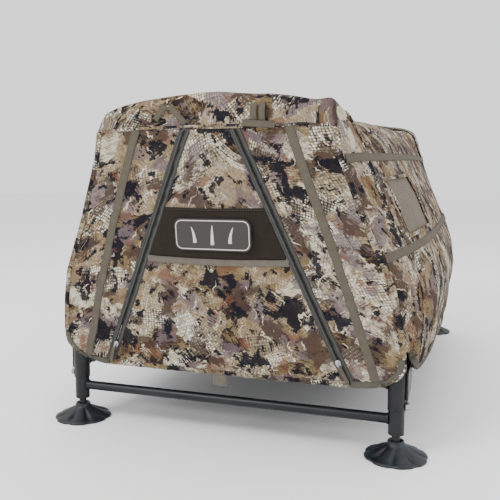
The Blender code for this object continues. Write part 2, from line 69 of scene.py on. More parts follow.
END_SECTION = [(0.298, 0.127), (0.299, 0.174), (0.293, 0.227), (0.283, 0.277), (0.245, 0.366),
               (0.205, 0.475), (0.197, 0.518), (0.179, 0.548), (0.100, 0.565), (0.0, 0.572)]
MID_SECTION = [(0.326, 0.127), (0.342, 0.182), (0.351, 0.237), (0.343, 0.292), (0.304, 0.382),
               (0.252, 0.482), (0.228, 0.524), (0.200, 0.546), (0.112, 0.559), (0.0, 0.563)]
REAR_SPREAD = [0, 0, 0, 0, 0.014, 0.028, 0.028, 0.024, 0.010, 0]
REAR_HOOP_SPREAD = [0, 0, 0, 0, 0, 0.014, 0.026, 0.028, 0.027, 0.025, 0.018, 0.008, 0]
DOOR_HALF_TOP = 0.040
DOOR_HALF_BOTTOM = 0.216
CORNER_ROUND = 0.042
CLOTH = 0.0012
STRAP = 0.014
MIDDLE = Vector((0, 0, 0.25))
ACROSS = Vector((1, 0, 0))
UP = Vector((0, 0, 1))


# ---------------------------------------------------------------- camera, floor and light
FOCAL_LENGTH = 47.6
SENSOR_WIDTH = 36
CAMERA_PLACE = (0.3925, -1.502, 0.432)
CAMERA_DIP = 5.8
CAMERA_TURN = 18.76
SKY_STRENGTH = 1.42
FLOOR_GREY = 0.95
AIM_HIGH = (0, 0, 0.3)
LIGHTS = (("key", (-1.4, -2.6, 2.6), AIM_HIGH, 1.4, 72),
          ("fill", (2.8, -1.0, 1.4), AIM_HIGH, 2.2, 22),
          ("top", (0, 0.4, 3.2), (0, 0, 0), 2.5, 36))


def make_camera():
    """Camera at the place, height and angle that the object was first seen from."""
    data = bpy.data.cameras.new("photo_camera")
    data.lens = FOCAL_LENGTH
    data.sensor_width = SENSOR_WIDTH
    camera = bpy.data.objects.new("photo_camera", data)
    bpy.context.scene.collection.objects.link(camera)
    camera.location = CAMERA_PLACE
    camera.rotation_euler = (math.radians(90 - CAMERA_DIP), 0, math.radians(CAMERA_TURN))
    bpy.context.scene.camera = camera


def make_light(name, place, target, size, power):
    data = bpy.data.lights.new(name, "AREA")
    data.shape = "DISK"
    data.size = size
    data.energy = power
    light = bpy.data.objects.new(name, data)
    bpy.context.scene.collection.objects.link(light)
    light.location = place
    light.rotation_euler = (Vector(target) - Vector(place)).to_track_quat("-Z", "Y").to_euler()


def make_stage():
    """Pale floor, white surroundings and three soft lights."""
    bpy.ops.mesh.primitive_plane_add(size=40, location=(0, 0, -0.0005))
    floor = bpy.context.object
    floor.name = "floor"
    paper = Tree("pale_floor")
    floor.data.materials.append(paper.set(Base_Color=(*[FLOOR_GREY] * 3, 1), Roughness=0.9,
                                          Specular_IOR_Level=0.1))
    world = bpy.data.worlds.new("studio")
    world.use_nodes = True
    sky = world.node_tree.nodes["Background"].inputs
    sky["Color"].default_value = (1, 1, 1, 1)
    sky["Strength"].default_value = SKY_STRENGTH
    bpy.context.scene.world = world
    for light in LIGHTS:
        make_light(*light)


# ---------------------------------------------------------------- node materials
def linear(red, green, blue):
    """A colour given as 0-255 display values, as linear RGBA."""
    parts = [value / 255 for value in (red, green, blue)]
    return (*[p / 12.92 if p <= 0.04045 else ((p + 0.055) / 1.055) ** 2.4 for p in parts], 1.0)


class Tree:
    """Short calls for a material's nodes."""

    def __init__(self, name):
        self.material = bpy.data.materials.new(name)
        self.material.use_nodes = True
        self.nodes = self.material.node_tree.nodes
        self.links = self.material.node_tree.links
        self.shader = self.nodes["Principled BSDF"]

    def put(self, socket, value):
        """Link a socket, or set a constant on it."""
        if isinstance(value, bpy.types.NodeSocket):
            self.links.new(value, socket)
        else:
            socket.default_value = value

    def add(self, kind, settings=None, **inputs):
        node = self.nodes.new(kind)
        for key, value in (settings or {}).items():
            setattr(node, key, value)
        for key, value in inputs.items():
            self.put(node.inputs[key.replace("_", " ")], value)
        return node

    def math(self, operation, first, second=0.0, third=0.0):
        node = self.add("ShaderNodeMath", {"operation": operation})
        for socket, value in zip(node.inputs, (first, second, third)):
            self.put(socket, value)
        return node.outputs[0]

    def vector(self, operation, first, second):
        node = self.add("ShaderNodeVectorMath", {"operation": operation})
        self.put(node.inputs[0], first)
        self.put(node.inputs[1], second)
        return node.outputs[0]

    def scaled(self, vector, x, y, z=1.0):
        return self.vector("MULTIPLY", vector, (x, y, z))

    def sway(self, value, gain, base):
        """Base plus gain times the value's distance from one half."""
        return self.math("MULTIPLY_ADD", self.math("SUBTRACT", value, 0.5), gain, base)

    def mix(self, share, first, second, blend="MIX"):
        node = self.add("ShaderNodeMix", {"data_type": "RGBA", "blend_type": blend})
        self.put(node.inputs[0], share)
        self.put(node.inputs[6], first)
        self.put(node.inputs[7], second)
        return node.outputs[2]

    def noise(self, vector, scale, detail=2.0, roughness=0.5):
        node = self.add("ShaderNodeTexNoise", Vector=vector, Scale=scale, Detail=detail,
                        Roughness=roughness)
        return node.outputs["Fac"]

    def cells(self, vector, scale, randomness=1.0):
        """Flat Voronoi cells, as a node with its distance and colour."""
        return self.add("ShaderNodeTexVoronoi", {"voronoi_dimensions": "2D"}, Vector=vector,
                        Scale=scale, Randomness=randomness)

    def step(self, value, low, high):
        """Smooth step from 0 to 1 as the value goes from low to high."""
        node = self.add("ShaderNodeMapRange", {"interpolation_type": "SMOOTHSTEP"})
        self.put(node.inputs["Value"], value)
        self.put(node.inputs["From Min"], low)
        self.put(node.inputs["From Max"], high)
        return node.outputs[0]

    def ramp(self, value, stops):
        """Colour blended between (place, colour) stops."""
        node = self.add("ShaderNodeValToRGB")
        while len(node.color_ramp.elements) < len(stops):
            node.color_ramp.elements.new(0.5)
        for element, (place, colour) in zip(node.color_ramp.elements, stops):
            element.position = place
            element.color = colour
        self.put(node.inputs[0], value)
        return node.outputs[0]

    def bump(self, height, strength, distance):
        node = self.add("ShaderNodeBump", Height=height, Strength=strength, Distance=distance)
        self.links.new(node.outputs[0], self.shader.inputs["Normal"])

    def waves(self, flat, pitch):
        """Sines along both ways of the cloth, of one thread's pitch."""
        turns = self.scaled(flat, math.pi / pitch, math.pi / pitch)
        split = self.add("ShaderNodeSeparateXYZ", Vector=turns)
        return [self.math("SINE", split.outputs[axis]) for axis in (0, 1)]

    def cloth_map(self):
        return self.add("ShaderNodeUVMap", {"uv_map": "cloth"}).outputs[0]

    def place(self):
        return self.add("ShaderNodeTexCoord").outputs["Object"]

    def set(self, **inputs):
        for key, value in inputs.items():
            self.put(self.shader.inputs[key.replace("_", " ")], value)
        return self.material

    def finish(self, colour, mottle, gain, base, **inputs):
        """Set the colour and a roughness of base plus gain times a mottled field."""
        rough = self.math("MULTIPLY_ADD", mottle, gain, base)
        return self.set(Base_Color=colour, Roughness=rough, **inputs)


def weave_height(tree, flat, pitch):
    """Over-and-under threads of a plain weave, as a height."""
    across, along = tree.waves(flat, pitch)
    return tree.math("MULTIPLY", across, along)


def blotches(tree, colour, flat, strokes, shift, scale, level, share, paint):
    """Ragged patches of one paint over the colour so far."""
    spread_at = tree.vector("ADD", flat, (*shift, 0.0))
    field = tree.noise(spread_at, scale, 4.0, 0.55)
    field = tree.sway(strokes, 0.22, field)
    cover = tree.math("MULTIPLY", tree.step(field, level, level + 0.02), share)
    return tree.mix(cover, colour, paint)


MARSH = ((0.00, (46, 38, 35)), (0.12, (80, 64, 50)), (0.22, (120, 103, 74)), (0.34, (94, 83, 63)),
         (0.44, (146, 122, 88)), (0.54, (102, 89, 77)), (0.64, (164, 146, 116)), (0.78, (98, 82, 78)),
         (0.96, (190, 180, 157)))
VIOLET, RUST, UMBER, NIGHT = (98, 84, 90), (108, 72, 54), (66, 52, 46), (24, 24, 32)


def camo_cloth():
    """Marsh pattern: soft fields of brush strokes, scale dots, dark blotches and pale reeds."""
    tree = Tree("camo_cloth")
    flat = tree.cloth_map()
    coarse = tree.add("ShaderNodeTexNoise", Vector=flat, Scale=20.0, Detail=5.0, Roughness=0.6)
    warp = tree.vector("SUBTRACT", coarse.outputs["Color"], (0.5, 0.5, 0.5))
    loose = tree.vector("ADD", flat, tree.vector("MULTIPLY", warp, (0.07, 0.07, 0)))
    patch = tree.cells(tree.scaled(loose, 1.0, 1.4), 19.0)
    shade = tree.add("ShaderNodeSeparateColor", Color=patch.outputs["Color"])
    angle = tree.math("MULTIPLY", shade.outputs[0], 2 * math.pi)
    turned = tree.add("ShaderNodeVectorRotate", {"rotation_type": "Z_AXIS"}, Vector=flat, Angle=angle)
    strokes = tree.noise(tree.scaled(turned.outputs[0], 55.0, 420.0), 1.0, 3.0, 0.6)
    mottled = tree.noise(flat, 42.0, 5.0, 0.68)
    pick = tree.sway(mottled, 1.6, tree.sway(strokes, 1.1, shade.outputs[1]))
    base = tree.ramp(pick, [(place, linear(*paint)) for place, paint in MARSH])
    netted = tree.vector("ADD", turned.outputs[0], tree.vector("MULTIPLY", warp, (0.008, 0.008, 0)))
    dots = tree.cells(tree.scaled(netted, 1.0, 1.25), 190.0, 0.25)
    dot = tree.step(dots.outputs["Distance"], 0.55, 0.22)
    dot_shade = tree.add("ShaderNodeSeparateColor", Color=dots.outputs["Color"]).outputs[0]
    pale = tree.mix(dot_shade, linear(160, 152, 130), linear(232, 229, 216))
    grout = tree.mix(0.35, base, linear(96, 88, 70))
    zone = tree.sway(mottled, 1.3, shade.outputs[2])
    faint = tree.mix(tree.math("MULTIPLY", dot, tree.step(zone, 0.30, 0.55)), base,
                     tree.mix(0.32, base, pale))
    colour = tree.mix(tree.step(zone, 0.74, 0.80), faint, tree.mix(dot, grout, pale))
    for around, shift, scale, level, share, paint in (
            (loose, (7.3, 4.9), 17.0, 0.550, 0.75, VIOLET), (loose, (3.1, 1.7), 20.0, 0.580, 0.65, RUST),
            (loose, (9.4, 6.1), 19.0, 0.550, 0.85, UMBER), (loose, (1.9, 8.3), 20.0, 0.565, 0.95, NIGHT),
            (flat, (5.7, 2.2), 48.0, 0.600, 0.95, NIGHT)):
        colour = blotches(tree, colour, around, strokes, shift, scale, level, share, linear(*paint))
    reed = tree.add("ShaderNodeVectorRotate", {"rotation_type": "Z_AXIS"}, Vector=loose,
                    Angle=tree.math("MULTIPLY_ADD", shade.outputs[1], 2.4, 0.4))
    reeds = tree.noise(tree.scaled(reed.outputs[0], 20.0, 120.0), 1.0, 2.0, 0.5)
    colour = tree.mix(tree.math("MULTIPLY", tree.step(reeds, 0.65, 0.67), 0.8), colour,
                      linear(206, 196, 172))
    thread = tree.noise(flat, 1500.0, 1.0)
    grain = tree.ramp(thread, [(0.3, (0.30, 0.30, 0.30, 1)), (0.7, (1, 1, 1, 1))])
    colour = tree.mix(0.25, colour, grain, "MULTIPLY")
    soft = tree.noise(flat, 9.0, 3.0)
    weave = weave_height(tree, flat, 0.0011)
    height = tree.math("MULTIPLY_ADD", soft, 5.0, tree.math("MULTIPLY", weave, 0.4))
    tree.bump(height, 0.35, 0.0006)
    return tree.finish(colour, thread, 0.12, 0.80, Specular_IOR_Level=0.06)


def plain_weave(name, colour, pitch, weave_shade=0.35, roughness=0.85, stripes=0.0):
    """Webbing, tape or binding: a ribbed weave with uneven colour, a little fading and painted shade in the
    hollows between its threads.
    """
    tree = Tree(name)
    flat = tree.cloth_map()
    weave = weave_height(tree, flat, pitch)
    patchy = tree.noise(flat, 60.0, 4.0, 0.6)
    # Painted shade: the tone follows the weave's height, darker in the hollows between threads; the patchy
    # noise is uneven colour and fading.
    tone = tree.sway(patchy, 0.5, tree.math("MULTIPLY_ADD", weave, weave_shade * 0.5, 0.82))
    if stripes:
        split = tree.add("ShaderNodeSeparateXYZ", Vector=flat)
        line = tree.math("SINE", tree.math("MULTIPLY", split.outputs[0], 2 * math.pi / stripes))
        tone = tree.math("MULTIPLY_ADD", line, 0.16, tone)
    grey = tree.add("ShaderNodeCombineColor", Red=tone, Green=tone, Blue=tone).outputs[0]
    shaded = tree.mix(1.0, linear(*colour), grey, "MULTIPLY")
    tree.bump(weave, 0.5, 0.0004)
    return tree.finish(shaded, patchy, 0.15, roughness - 0.08, Specular_IOR_Level=0.15)


def open_mesh(name, thread, gap, pitch):
    """Coated mesh fabric: light threads crossing over openings painted dark, a painted shade for the dim
    space seen through them.
    """
    tree = Tree(name)
    flat = tree.cloth_map()
    across, along = (tree.math("ABSOLUTE", wave) for wave in tree.waves(flat, pitch))
    hole = tree.step(tree.math("MINIMUM", across, along), 0.45, 0.70)
    patchy = tree.noise(flat, 30.0, 4.0)
    # Painted shade: the openings take the dark colour of the shaded space behind the mesh, and random
    # patches are mixed further towards it.
    colour = tree.mix(hole, linear(*thread), linear(*gap))
    colour = tree.mix(tree.math("MULTIPLY", patchy, 0.35), colour, linear(*gap))
    tree.bump(tree.math("SUBTRACT", 1.0, hole), 0.6, 0.0006)
    return tree.finish(colour, patchy, 0.2, 0.6, Specular_IOR_Level=0.08)


def coated_steel():
    """Semi-gloss black powder coat with orange peel, dust and a few scuffs."""
    tree = Tree("coated_steel")
    place = tree.place()
    peel = tree.noise(place, 900.0, 2.0)
    dust = tree.noise(place, 22.0, 5.0, 0.65)
    scuff = tree.step(tree.noise(tree.scaled(place, 40.0, 40.0, 220.0), 1.0, 4.0, 0.7), 0.68, 0.74)
    colour = tree.mix(tree.step(dust, 0.35, 0.75), linear(13, 14, 18), linear(27, 28, 32))
    colour = tree.mix(tree.math("MULTIPLY", scuff, 0.4), colour, linear(92, 91, 88))
    tree.bump(peel, 0.18, 0.0002)
    return tree.finish(colour, dust, 0.28, 0.26, Specular_IOR_Level=0.34)


def zinc_steel():
    """Bright plating, brushed along one way and tarnished in patches."""
    tree = Tree("zinc_steel")
    place = tree.place()
    brushed = tree.noise(tree.scaled(place, 300.0, 300.0, 2600.0), 1.0, 3.0)
    tarnish = tree.noise(place, 160.0, 4.0)
    colour = tree.mix(tarnish, linear(188, 188, 184), linear(136, 134, 128))
    tree.bump(brushed, 0.15, 0.0001)
    return tree.finish(colour, brushed, 0.25, 0.22, Metallic=1.0)


def foot_rubber():
    """Dark moulded rubber with a greyish bloom."""
    tree = Tree("foot_rubber")
    place = tree.place()
    grain = tree.noise(place, 700.0, 3.0)
    bloom = tree.noise(place, 38.0, 5.0, 0.6)
    colour = tree.mix(tree.step(bloom, 0.35, 0.8), linear(10, 14, 19), linear(32, 40, 48))
    tree.bump(grain, 0.3, 0.0003)
    return tree.finish(colour, bloom, 0.3, 0.36, Specular_IOR_Level=0.45)


def badge_mould(name, low, high):
    """Moulded plastic of the badge, between two tones."""
    tree = Tree(name)
    place = tree.place()
    grain = tree.noise(place, 500.0, 3.0)
    colour = tree.mix(grain, linear(*low), linear(*high))
    tree.bump(grain, 0.2, 0.0002)
    return tree.finish(colour, grain, 0.2, 0.5)


MATS = {}


def make_materials():
    MATS["camo"] = camo_cloth()
    MATS["lining"] = plain_weave("cloth_lining", (70, 64, 56), 0.0012, 0.2, 0.92)
    MATS["strap"] = plain_weave("strap_webbing", (95, 88, 77), 0.0016, 0.5)
    MATS["binding"] = plain_weave("hem_binding", (90, 88, 80), 0.0013, 0.4)
    MATS["zip_tape"] = plain_weave("zip_tape", (76, 76, 74), 0.0010, 0.3, 0.8, 0.0045)
    MATS["zip_coil"] = plain_weave("zip_coil", (46, 46, 46), 0.0009, 0.6, 0.5)
    MATS["door_band"] = plain_weave("door_band", (44, 38, 33), 0.0011, 0.3, 0.9)
    MATS["webbing"] = plain_weave("light_webbing", (106, 100, 91), 0.0016, 0.45)
    # Window and deck mesh: the second colour is painted shade seen through the mesh's openings.
    MATS["window"] = open_mesh("window_mesh", (120, 112, 99), (82, 75, 66), 0.0030)
    MATS["deck"] = open_mesh("deck_mesh", (58, 60, 62), (16, 17, 18), 0.0042)
    MATS["steel"] = coated_steel()
    MATS["zinc"] = zinc_steel()
    MATS["rubber"] = foot_rubber()
    MATS["badge"] = badge_mould("badge_relief", (186, 184, 174), (214, 212, 204))
    MATS["badge_base"] = badge_mould("badge_base", (36, 32, 29), (48, 43, 39))


# ---------------------------------------------------------------- cover geometry
def mix(first, second, share):
    """Value at a share of the way from the first to the second."""
    return first + (second - first) * share


def rear_height(z):
    """Height at the rear of a point at height z at the front."""
    return SIDE_HEM_Z + (z - SIDE_HEM_Z) * REAR_STRETCH


def end_height(end, z):
    """Height on one end wall of a point at height z on the front one."""
    return rear_height(z) if end > 0 else z


def end_slope(end):
    """How far an end wall leans outwards for each metre up."""
    return END_SLOPE * (CROWN_Z - HEM_Z) / (end_height(end, CROWN_Z) - HEM_Z)


def end_y(end, z):
    """Place of an end wall's outer face at height z."""
    return end * (END_Y + end_slope(end) * (z - HEM_Z))


def smooth_at(points, row):
    """Point at a fractional row of a list, on a smooth curve through it."""
    low = min(max(int(row), 0), len(points) - 2)
    share = row - low
    picks = [points[min(max(low + step, 0), len(points) - 1)] for step in (-1, 0, 1, 2)]
    before, here, after, beyond = (np.array(point) for point in picks)
    tangent, following = (after - before) / 2, (beyond - here) / 2
    square, cube = share ** 2, share ** 3
    return ((2 * cube - 3 * square + 1) * here + (cube - 2 * square + share) * tangent
            + (3 * square - 2 * cube) * after + (cube - square) * following)


def rear_spread(row):
    """How much wider the section is at the rear, at a fractional row."""
    return float(np.interp(row, range(LAST_ROW + 1), REAR_SPREAD))


def cover_point(row, share, side, inset=COVER_INSET):
    """Point of the cover at a fractional row of its section; share runs from front to rear."""
    along = 2 * share - 1
    bulge = 1 - abs(along) ** BULGE_POWER
    front_x, front_z = smooth_at(END_SECTION, row)
    end_x = front_x + share * rear_spread(row)
    mid_x, mid_z = smooth_at(MID_SECTION, row)
    drop = 0.5 * ROOF_DIP * min(max(row - SEAM_ROW + 1, 0), 1)
    x = mix(end_x, mid_x, bulge)
    z = mix(mix(front_z, rear_height(front_z), share), mix(mid_z, rear_height(mid_z), share) - drop, bulge)
    y = mix(end_y(-1, z) + inset, end_y(1, z) - inset, share)
    if row < 1:
        reach = (abs(end_y(-1, z)) - abs(y)) / ARCH_LENGTH
        if reach < 1:
            z += (1 - row) * ARCH_RISE * math.cos(math.pi / 2 * max(reach, 0)) ** 2
    return Vector((side * max(x, 0), y, z))


def wall_point(end, across, z, depth=0.0):
    """Point on an end wall, `depth` outside its outer face."""
    slope = end_slope(end)
    outward = Vector((0, end, -slope)).normalized()
    return Vector((across, end_y(end, z), z)) + outward * depth


def end_half_width(end, row):
    """Half-width of an end wall at a row of its section."""
    return END_SECTION[row][0] + REAR_SPREAD[row] * (end > 0)


def edge_half_width(end, z):
    """Half-width of an end wall at height z, with its rounded lower corners."""
    rows = range(1, SEAM_ROW + 1)
    heights = [end_height(end, END_SECTION[row][1]) for row in rows]
    half = float(np.interp(z, heights, [end_half_width(end, row) for row in rows]))
    left = max(CORNER_ROUND - (z - HEM_Z), 0)
    return half - CORNER_ROUND + math.sqrt(CORNER_ROUND ** 2 - left ** 2)


def hinge_z(end):
    """Height of the seam between an end wall and its hood."""
    return end_height(end, SEAM_Z)


def zip_half_width(end, z):
    """Half-width of the door opening at height z, to the middle of its zip."""
    share = (z - HEM_Z) / (hinge_z(end) - HEM_Z)
    return mix(DOOR_HALF_BOTTOM, DOOR_HALF_TOP, share)


# ---------------------------------------------------------------- cloth sheets
SIM_SETTINGS = {"vertex_group_mass": "pin", "quality": 6, "mass": 0.12, "tension_stiffness": 25,
                "compression_stiffness": 12, "shear_stiffness": 6, "bending_stiffness": 0.25,
                "air_damping": 2.0}


def whole(row, column):
    return True


class Sheet:
    """Cloth as a grid of points, read back at fractional grid places once it has settled."""

    def __init__(self, name, rows):
        self.name = name
        self.points = np.array([[tuple(point) for point in row] for row in rows], float)
        self.keep = whole

    def at(self, row, column):
        count, width = self.points.shape[:2]
        low_row = min(max(int(row), 0), count - 2)
        low_column = min(max(int(column), 0), width - 2)
        a, b = row - low_row, column - low_column
        grid = self.points[low_row:low_row + 2, low_column:low_column + 2]
        return Vector(grid[0, 0] * (1 - a) * (1 - b) + grid[0, 1] * (1 - a) * b
                      + grid[1, 0] * a * (1 - b) + grid[1, 1] * a * b)

    def normal(self, row, column):
        """Direction away from the cabin's middle at a grid place."""
        down = self.at(row + 0.6, column) - self.at(row - 0.6, column)
        across = self.at(row, column + 0.6) - self.at(row, column - 0.6)
        found = down.cross(across).normalized()
        return found if found.dot(self.at(row, column) - MIDDLE) > 0 else -found

    def push(self, depth):
        """Move every point outwards by depth(row, column)."""
        count, width = self.points.shape[:2]
        moves = [[tuple(self.normal(row, column) * depth(row, column)) for column in range(width)]
                 for row in range(count)]
        self.points = self.points + np.array(moves)

    def steps(self, axis):
        """Lengths of the grid's steps from row to row (0) or from column to column (1)."""
        return np.linalg.norm(np.diff(self.points, axis=axis), axis=2)

    def cut_now(self, keep=whole):
        """Note the cut size of the cloth before it sags: its width, length and kept area."""
        self.keep = keep
        across = self.steps(1).sum(axis=1).max()
        along = self.steps(0).sum(axis=0).max()
        diagonal = self.points[1:, 1:] - self.points[:-1, :-1]
        other = self.points[1:, :-1] - self.points[:-1, 1:]
        cells = np.linalg.norm(np.cross(diagonal, other), axis=2) / 2
        kept = [[keep(row, column) for column in range(cells.shape[1])] for row in range(cells.shape[0])]
        self.cut = (float(across), float(along), float((cells * kept).sum()))

    def flat_map(self):
        """Metric cloth coordinates of every point, measured along the grid's lines."""
        across, along = self.steps(1), self.steps(0)
        u = np.concatenate([np.zeros((len(across), 1)), np.cumsum(across, axis=1)], axis=1)
        u -= u[:, -1:] / 2
        v = np.concatenate([np.zeros((1, along.shape[1])), np.cumsum(along, axis=0)], axis=0)
        return np.stack([u, v], axis=2)


def link(name, mesh, *materials):
    obj = bpy.data.objects.new(name, mesh)
    bpy.context.scene.collection.objects.link(obj)
    for material in materials:
        mesh.materials.append(material)
    return obj


def set_cloth_map(mesh, flat):
    """Store (u, v) of every vertex as the mesh's cloth map."""
    layer = mesh.uv_layers.new(name="cloth")
    for loop in mesh.loops:
        layer.data[loop.index].uv = flat[loop.vertex_index]


def grid_faces(count, width, keep):
    """Quads of the kept cells of a grid of points."""
    faces = []
    for row in range(count - 1):
        for column in range(width - 1):
            if keep(row, column):
                corner = row * width + column
                faces.append((corner, corner + 1, corner + width + 1, corner + width))
    return faces


def sheet_mesh(name, sheet, offset):
    """Mesh of the kept cells of a sheet, with its cloth map and faces turned outwards."""
    count, width = sheet.points.shape[:2]
    mesh = bpy.data.meshes.new(name)
    mesh.from_pydata(sheet.points.reshape(-1, 3).tolist(), [], grid_faces(count, width, sheet.keep))
    flat = sheet.flat_map().reshape(-1, 2) + np.array(offset)
    set_cloth_map(mesh, flat.tolist())
    build = bmesh.new()
    build.from_mesh(mesh)
    loose = [vert for vert in build.verts if not vert.link_faces]
    bmesh.ops.delete(build, geom=loose, context="VERTS")
    outward = sum(face.normal.dot(face.calc_center_median() - MIDDLE) for face in build.faces)
    if outward < 0:
        bmesh.ops.reverse_faces(build, faces=build.faces)
    build.to_mesh(mesh)
    build.free()
    mesh.shade_smooth()
    return mesh


def settle(sheet, pinned, frames, slack, cap):
    """Let a sheet hang by its pinned points under its own weight, and read its points back; none
    moves as far as `cap`."""
    count, width = sheet.points.shape[:2]
    mesh = bpy.data.meshes.new(sheet.name + "_sim")
    mesh.from_pydata(sheet.points.reshape(-1, 3).tolist(), [], grid_faces(count, width, whole))
    obj = link(sheet.name + "_sim", mesh)
    group = obj.vertex_groups.new(name="pin")
    for row in range(count):
        for column in range(width):
            weight = pinned(row, column, count, width)
            if weight > 0:
                group.add([row * width + column], weight, "REPLACE")
    cloth = obj.modifiers.new("cloth", "CLOTH")
    for key, value in SIM_SETTINGS.items():
        setattr(cloth.settings, key, value)
    cloth.settings.shrink_min = -slack
    cloth.collision_settings.use_collision = False
    cloth.point_cache.frame_start = 1
    cloth.point_cache.frame_end = frames
    scene = bpy.context.scene
    for step in range(1, frames + 1):
        scene.frame_set(step)
    settled = obj.evaluated_get(bpy.context.evaluated_depsgraph_get()).to_mesh()
    found = np.zeros(len(settled.vertices) * 3, np.float32)
    settled.vertices.foreach_get("co", found)
    bpy.data.objects.remove(obj, do_unlink=True)
    scene.frame_set(1)
    moved = found.reshape(count, width, 3) - sheet.points
    length = np.linalg.norm(moved, axis=2, keepdims=True)
    sheet.points = sheet.points + moved * cap / (length + cap)


def rumple(sheet, depth, size, seed, edge=2):
    """Soft creases of a depth and size, square to the cloth, fading over its outer `edge` cells."""
    count, width = sheet.points.shape[:2]
    flat = sheet.flat_map() / size

    def crease(row, column):
        u, v = flat[row, column]
        slow = noise.noise(Vector((u + seed, v * 0.45, seed)))
        quick = noise.noise(Vector((u * 2.2 - seed, v * 1.7, seed * 2)))
        rim = min(row, column, count - 1 - row, width - 1 - column) / edge
        return depth * (slow + 0.5 * quick) * min(rim, 1)
    sheet.push(crease)


def thicken(obj, thickness):
    """Give a surface its thickness, inwards from its outer face."""
    shell = obj.modifiers.new("thickness", "SOLIDIFY")
    shell.thickness = thickness
    shell.offset = -1
    return shell


def cloth_piece(name, sheet, body, replaced, material="camo",
                lining="lining", offset=(0, 0), thickness=CLOTH):
    """Thickened cloth object made from a sheet; its inner face shows the lining."""
    obj = link(name, sheet_mesh(name, sheet, offset), MATS[material], MATS[lining])
    subdivide = obj.modifiers.new("smooth", "SUBSURF")
    subdivide.levels = 1
    subdivide.render_levels = 1
    thicken(obj, thickness).material_offset = 1
    if replaced:
        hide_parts(*replaced)
    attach(obj, body)
    width, length, area = sheet.cut
    return obj


# ---------------------------------------------------------------- ribbons along a path
FLAT_PROFILE = ((-0.5, 0), (-0.46, 1), (0.46, 1), (0.5, 0))
RIDGED_PROFILE = ((-0.5, 0), (-0.46, 0.7), (-0.30, 0.7), (-0.22, 1.3), (-0.14, 0.7), (0.10, 0.7),
                  (0.20, 1.5), (0.30, 0.7), (0.46, 0.7), (0.5, 0))
STITCH_PITCH = 0.0042
STITCH_LENGTH = 0.0030
THREAD_R = 0.00035
EDGE_LINES = (-0.36, 0.36)
TRIM_LIFT = 0.0004
STRAP_LIFT = 0.0006
BINDING = 0.011
HEM_PLACE = 0.42


def runs(points):
    """How a path runs at each of its points, from the point before to the one after."""
    return [after - before for before, after in zip([points[0], *points[:-1]], [*points[1:], points[-1]])]


def path_sides(points, normals):
    """Sideways directions along a path, square to its run and to the cloth's normals."""
    return [run.cross(normal).normalized() for run, normal in zip(runs(points), normals)]


def map_quads(build, layer, rings, around):
    """Quads between (ring, distance) pairs, mapped by distance and by the places around a ring."""
    for (low, start), (high, end) in zip(rings, rings[1:]):
        for step in range(len(low)):
            after = (step + 1) % len(low)
            face = build.faces.new((low[step], low[after], high[after], high[step]))
            corners = ((step, start), (step + 1, start), (step + 1, end), (step, end))
            for loop, (place, along) in zip(face.loops, corners):
                loop[layer].uv = (around[place], along)


def add_strip(build, layer, points, sides, normals, width, thickness, profile):
    """Closed strip swept along points, with its cloth map in metres."""
    rings, distance = [], 0.0
    for index, point in enumerate(points):
        if index:
            distance += (point - points[index - 1]).length
        ring = [build.verts.new(point + sides[index] * across * width
                                + normals[index] * height * thickness) for across, height in profile]
        rings.append((ring, distance))
    map_quads(build, layer, rings, [across * width for across, height in (*profile, profile[0])])
    build.faces.new(rings[0][0])
    build.faces.new(list(reversed(rings[-1][0])))


def path_places(points, start, spare, pitch):
    """(segment, share along it) at even distances, from `start` to `spare` before the path's end."""
    gaps = [(after - before).length for before, after in zip(points, points[1:])]
    steps = np.concatenate([[0], np.cumsum(gaps)])
    for place in np.arange(start, steps[-1] - spare, pitch):
        index = min(int(np.searchsorted(steps, place)) - 1, len(gaps) - 1)
        yield index, (place - steps[index]) / gaps[index]


def add_grain(build, middle, *axes):
    """Small ellipsoid with the given half axes; returns its faces."""
    place = Matrix.Translation(middle) @ Matrix(axes).transposed().to_4x4()
    made = bmesh.ops.create_icosphere(build, subdivisions=1, radius=1.0, matrix=place)
    return {face for vert in made["verts"] for face in vert.link_faces}


def add_stitches(build, points, sides, normals, width, height, lines):
    """Rows of thread stitches along a strip, one at each given share of its width."""
    for share in lines:
        for index, portion in path_places(points, STITCH_PITCH, STITCH_LENGTH, STITCH_PITCH):
            run = (points[index + 1] - points[index]).normalized()
            side = sides[index].lerp(sides[index + 1], portion).normalized()
            up = normals[index].lerp(normals[index + 1], portion).normalized()
            middle = points[index].lerp(points[index + 1], portion) + side * share * width + up * height
            for face in add_grain(build, middle, run * STITCH_LENGTH / 2, side * THREAD_R, up * THREAD_R):
                face.material_index = 1


def ribbon(name, path, width, material, body, thickness=0.0015, profile=FLAT_PROFILE,
           lines=EDGE_LINES, sides=None, thread="binding"):
    """Woven strip along a path of (points, normals), with its stitching, riding one body."""
    points, normals = path
    sides = sides or path_sides(points, normals)
    build = bmesh.new()
    layer = build.loops.layers.uv.new("cloth")
    add_strip(build, layer, points, sides, normals, width, thickness, profile)
    bmesh.ops.recalc_face_normals(build, faces=build.faces)
    add_stitches(build, points, sides, normals, width, thickness, lines)
    mesh = finished_mesh(name, build)
    mesh.set_sharp_from_angle(angle=math.radians(50))
    obj = link(name, mesh, MATS[material], MATS[thread])
    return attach(obj, body)


def camo_trim(name, path, width, body, thickness, lines=(0.0,)):
    """Piping, seam or folded edge of the cover's own cloth."""
    return ribbon(name, path, width, "camo", body, thickness, lines=lines)


def hem_binding(name, sheet, spots, body, material="binding"):
    """Binding folded over a sheet's edge, as a strip each side of the cloth."""
    return [ribbon(f"{name}_{face}", raised(sheet, spots, gap, direction), BINDING, material, body, 0.0010)
            for face, direction, gap in (("outer", 1, 0.0003), ("inner", -1, CLOTH + 0.0003))]


def finished_mesh(name, build):
    """Smooth-shaded mesh from a finished build."""
    mesh = bpy.data.meshes.new(name)
    build.to_mesh(mesh)
    build.free()
    mesh.shade_smooth()
    return mesh


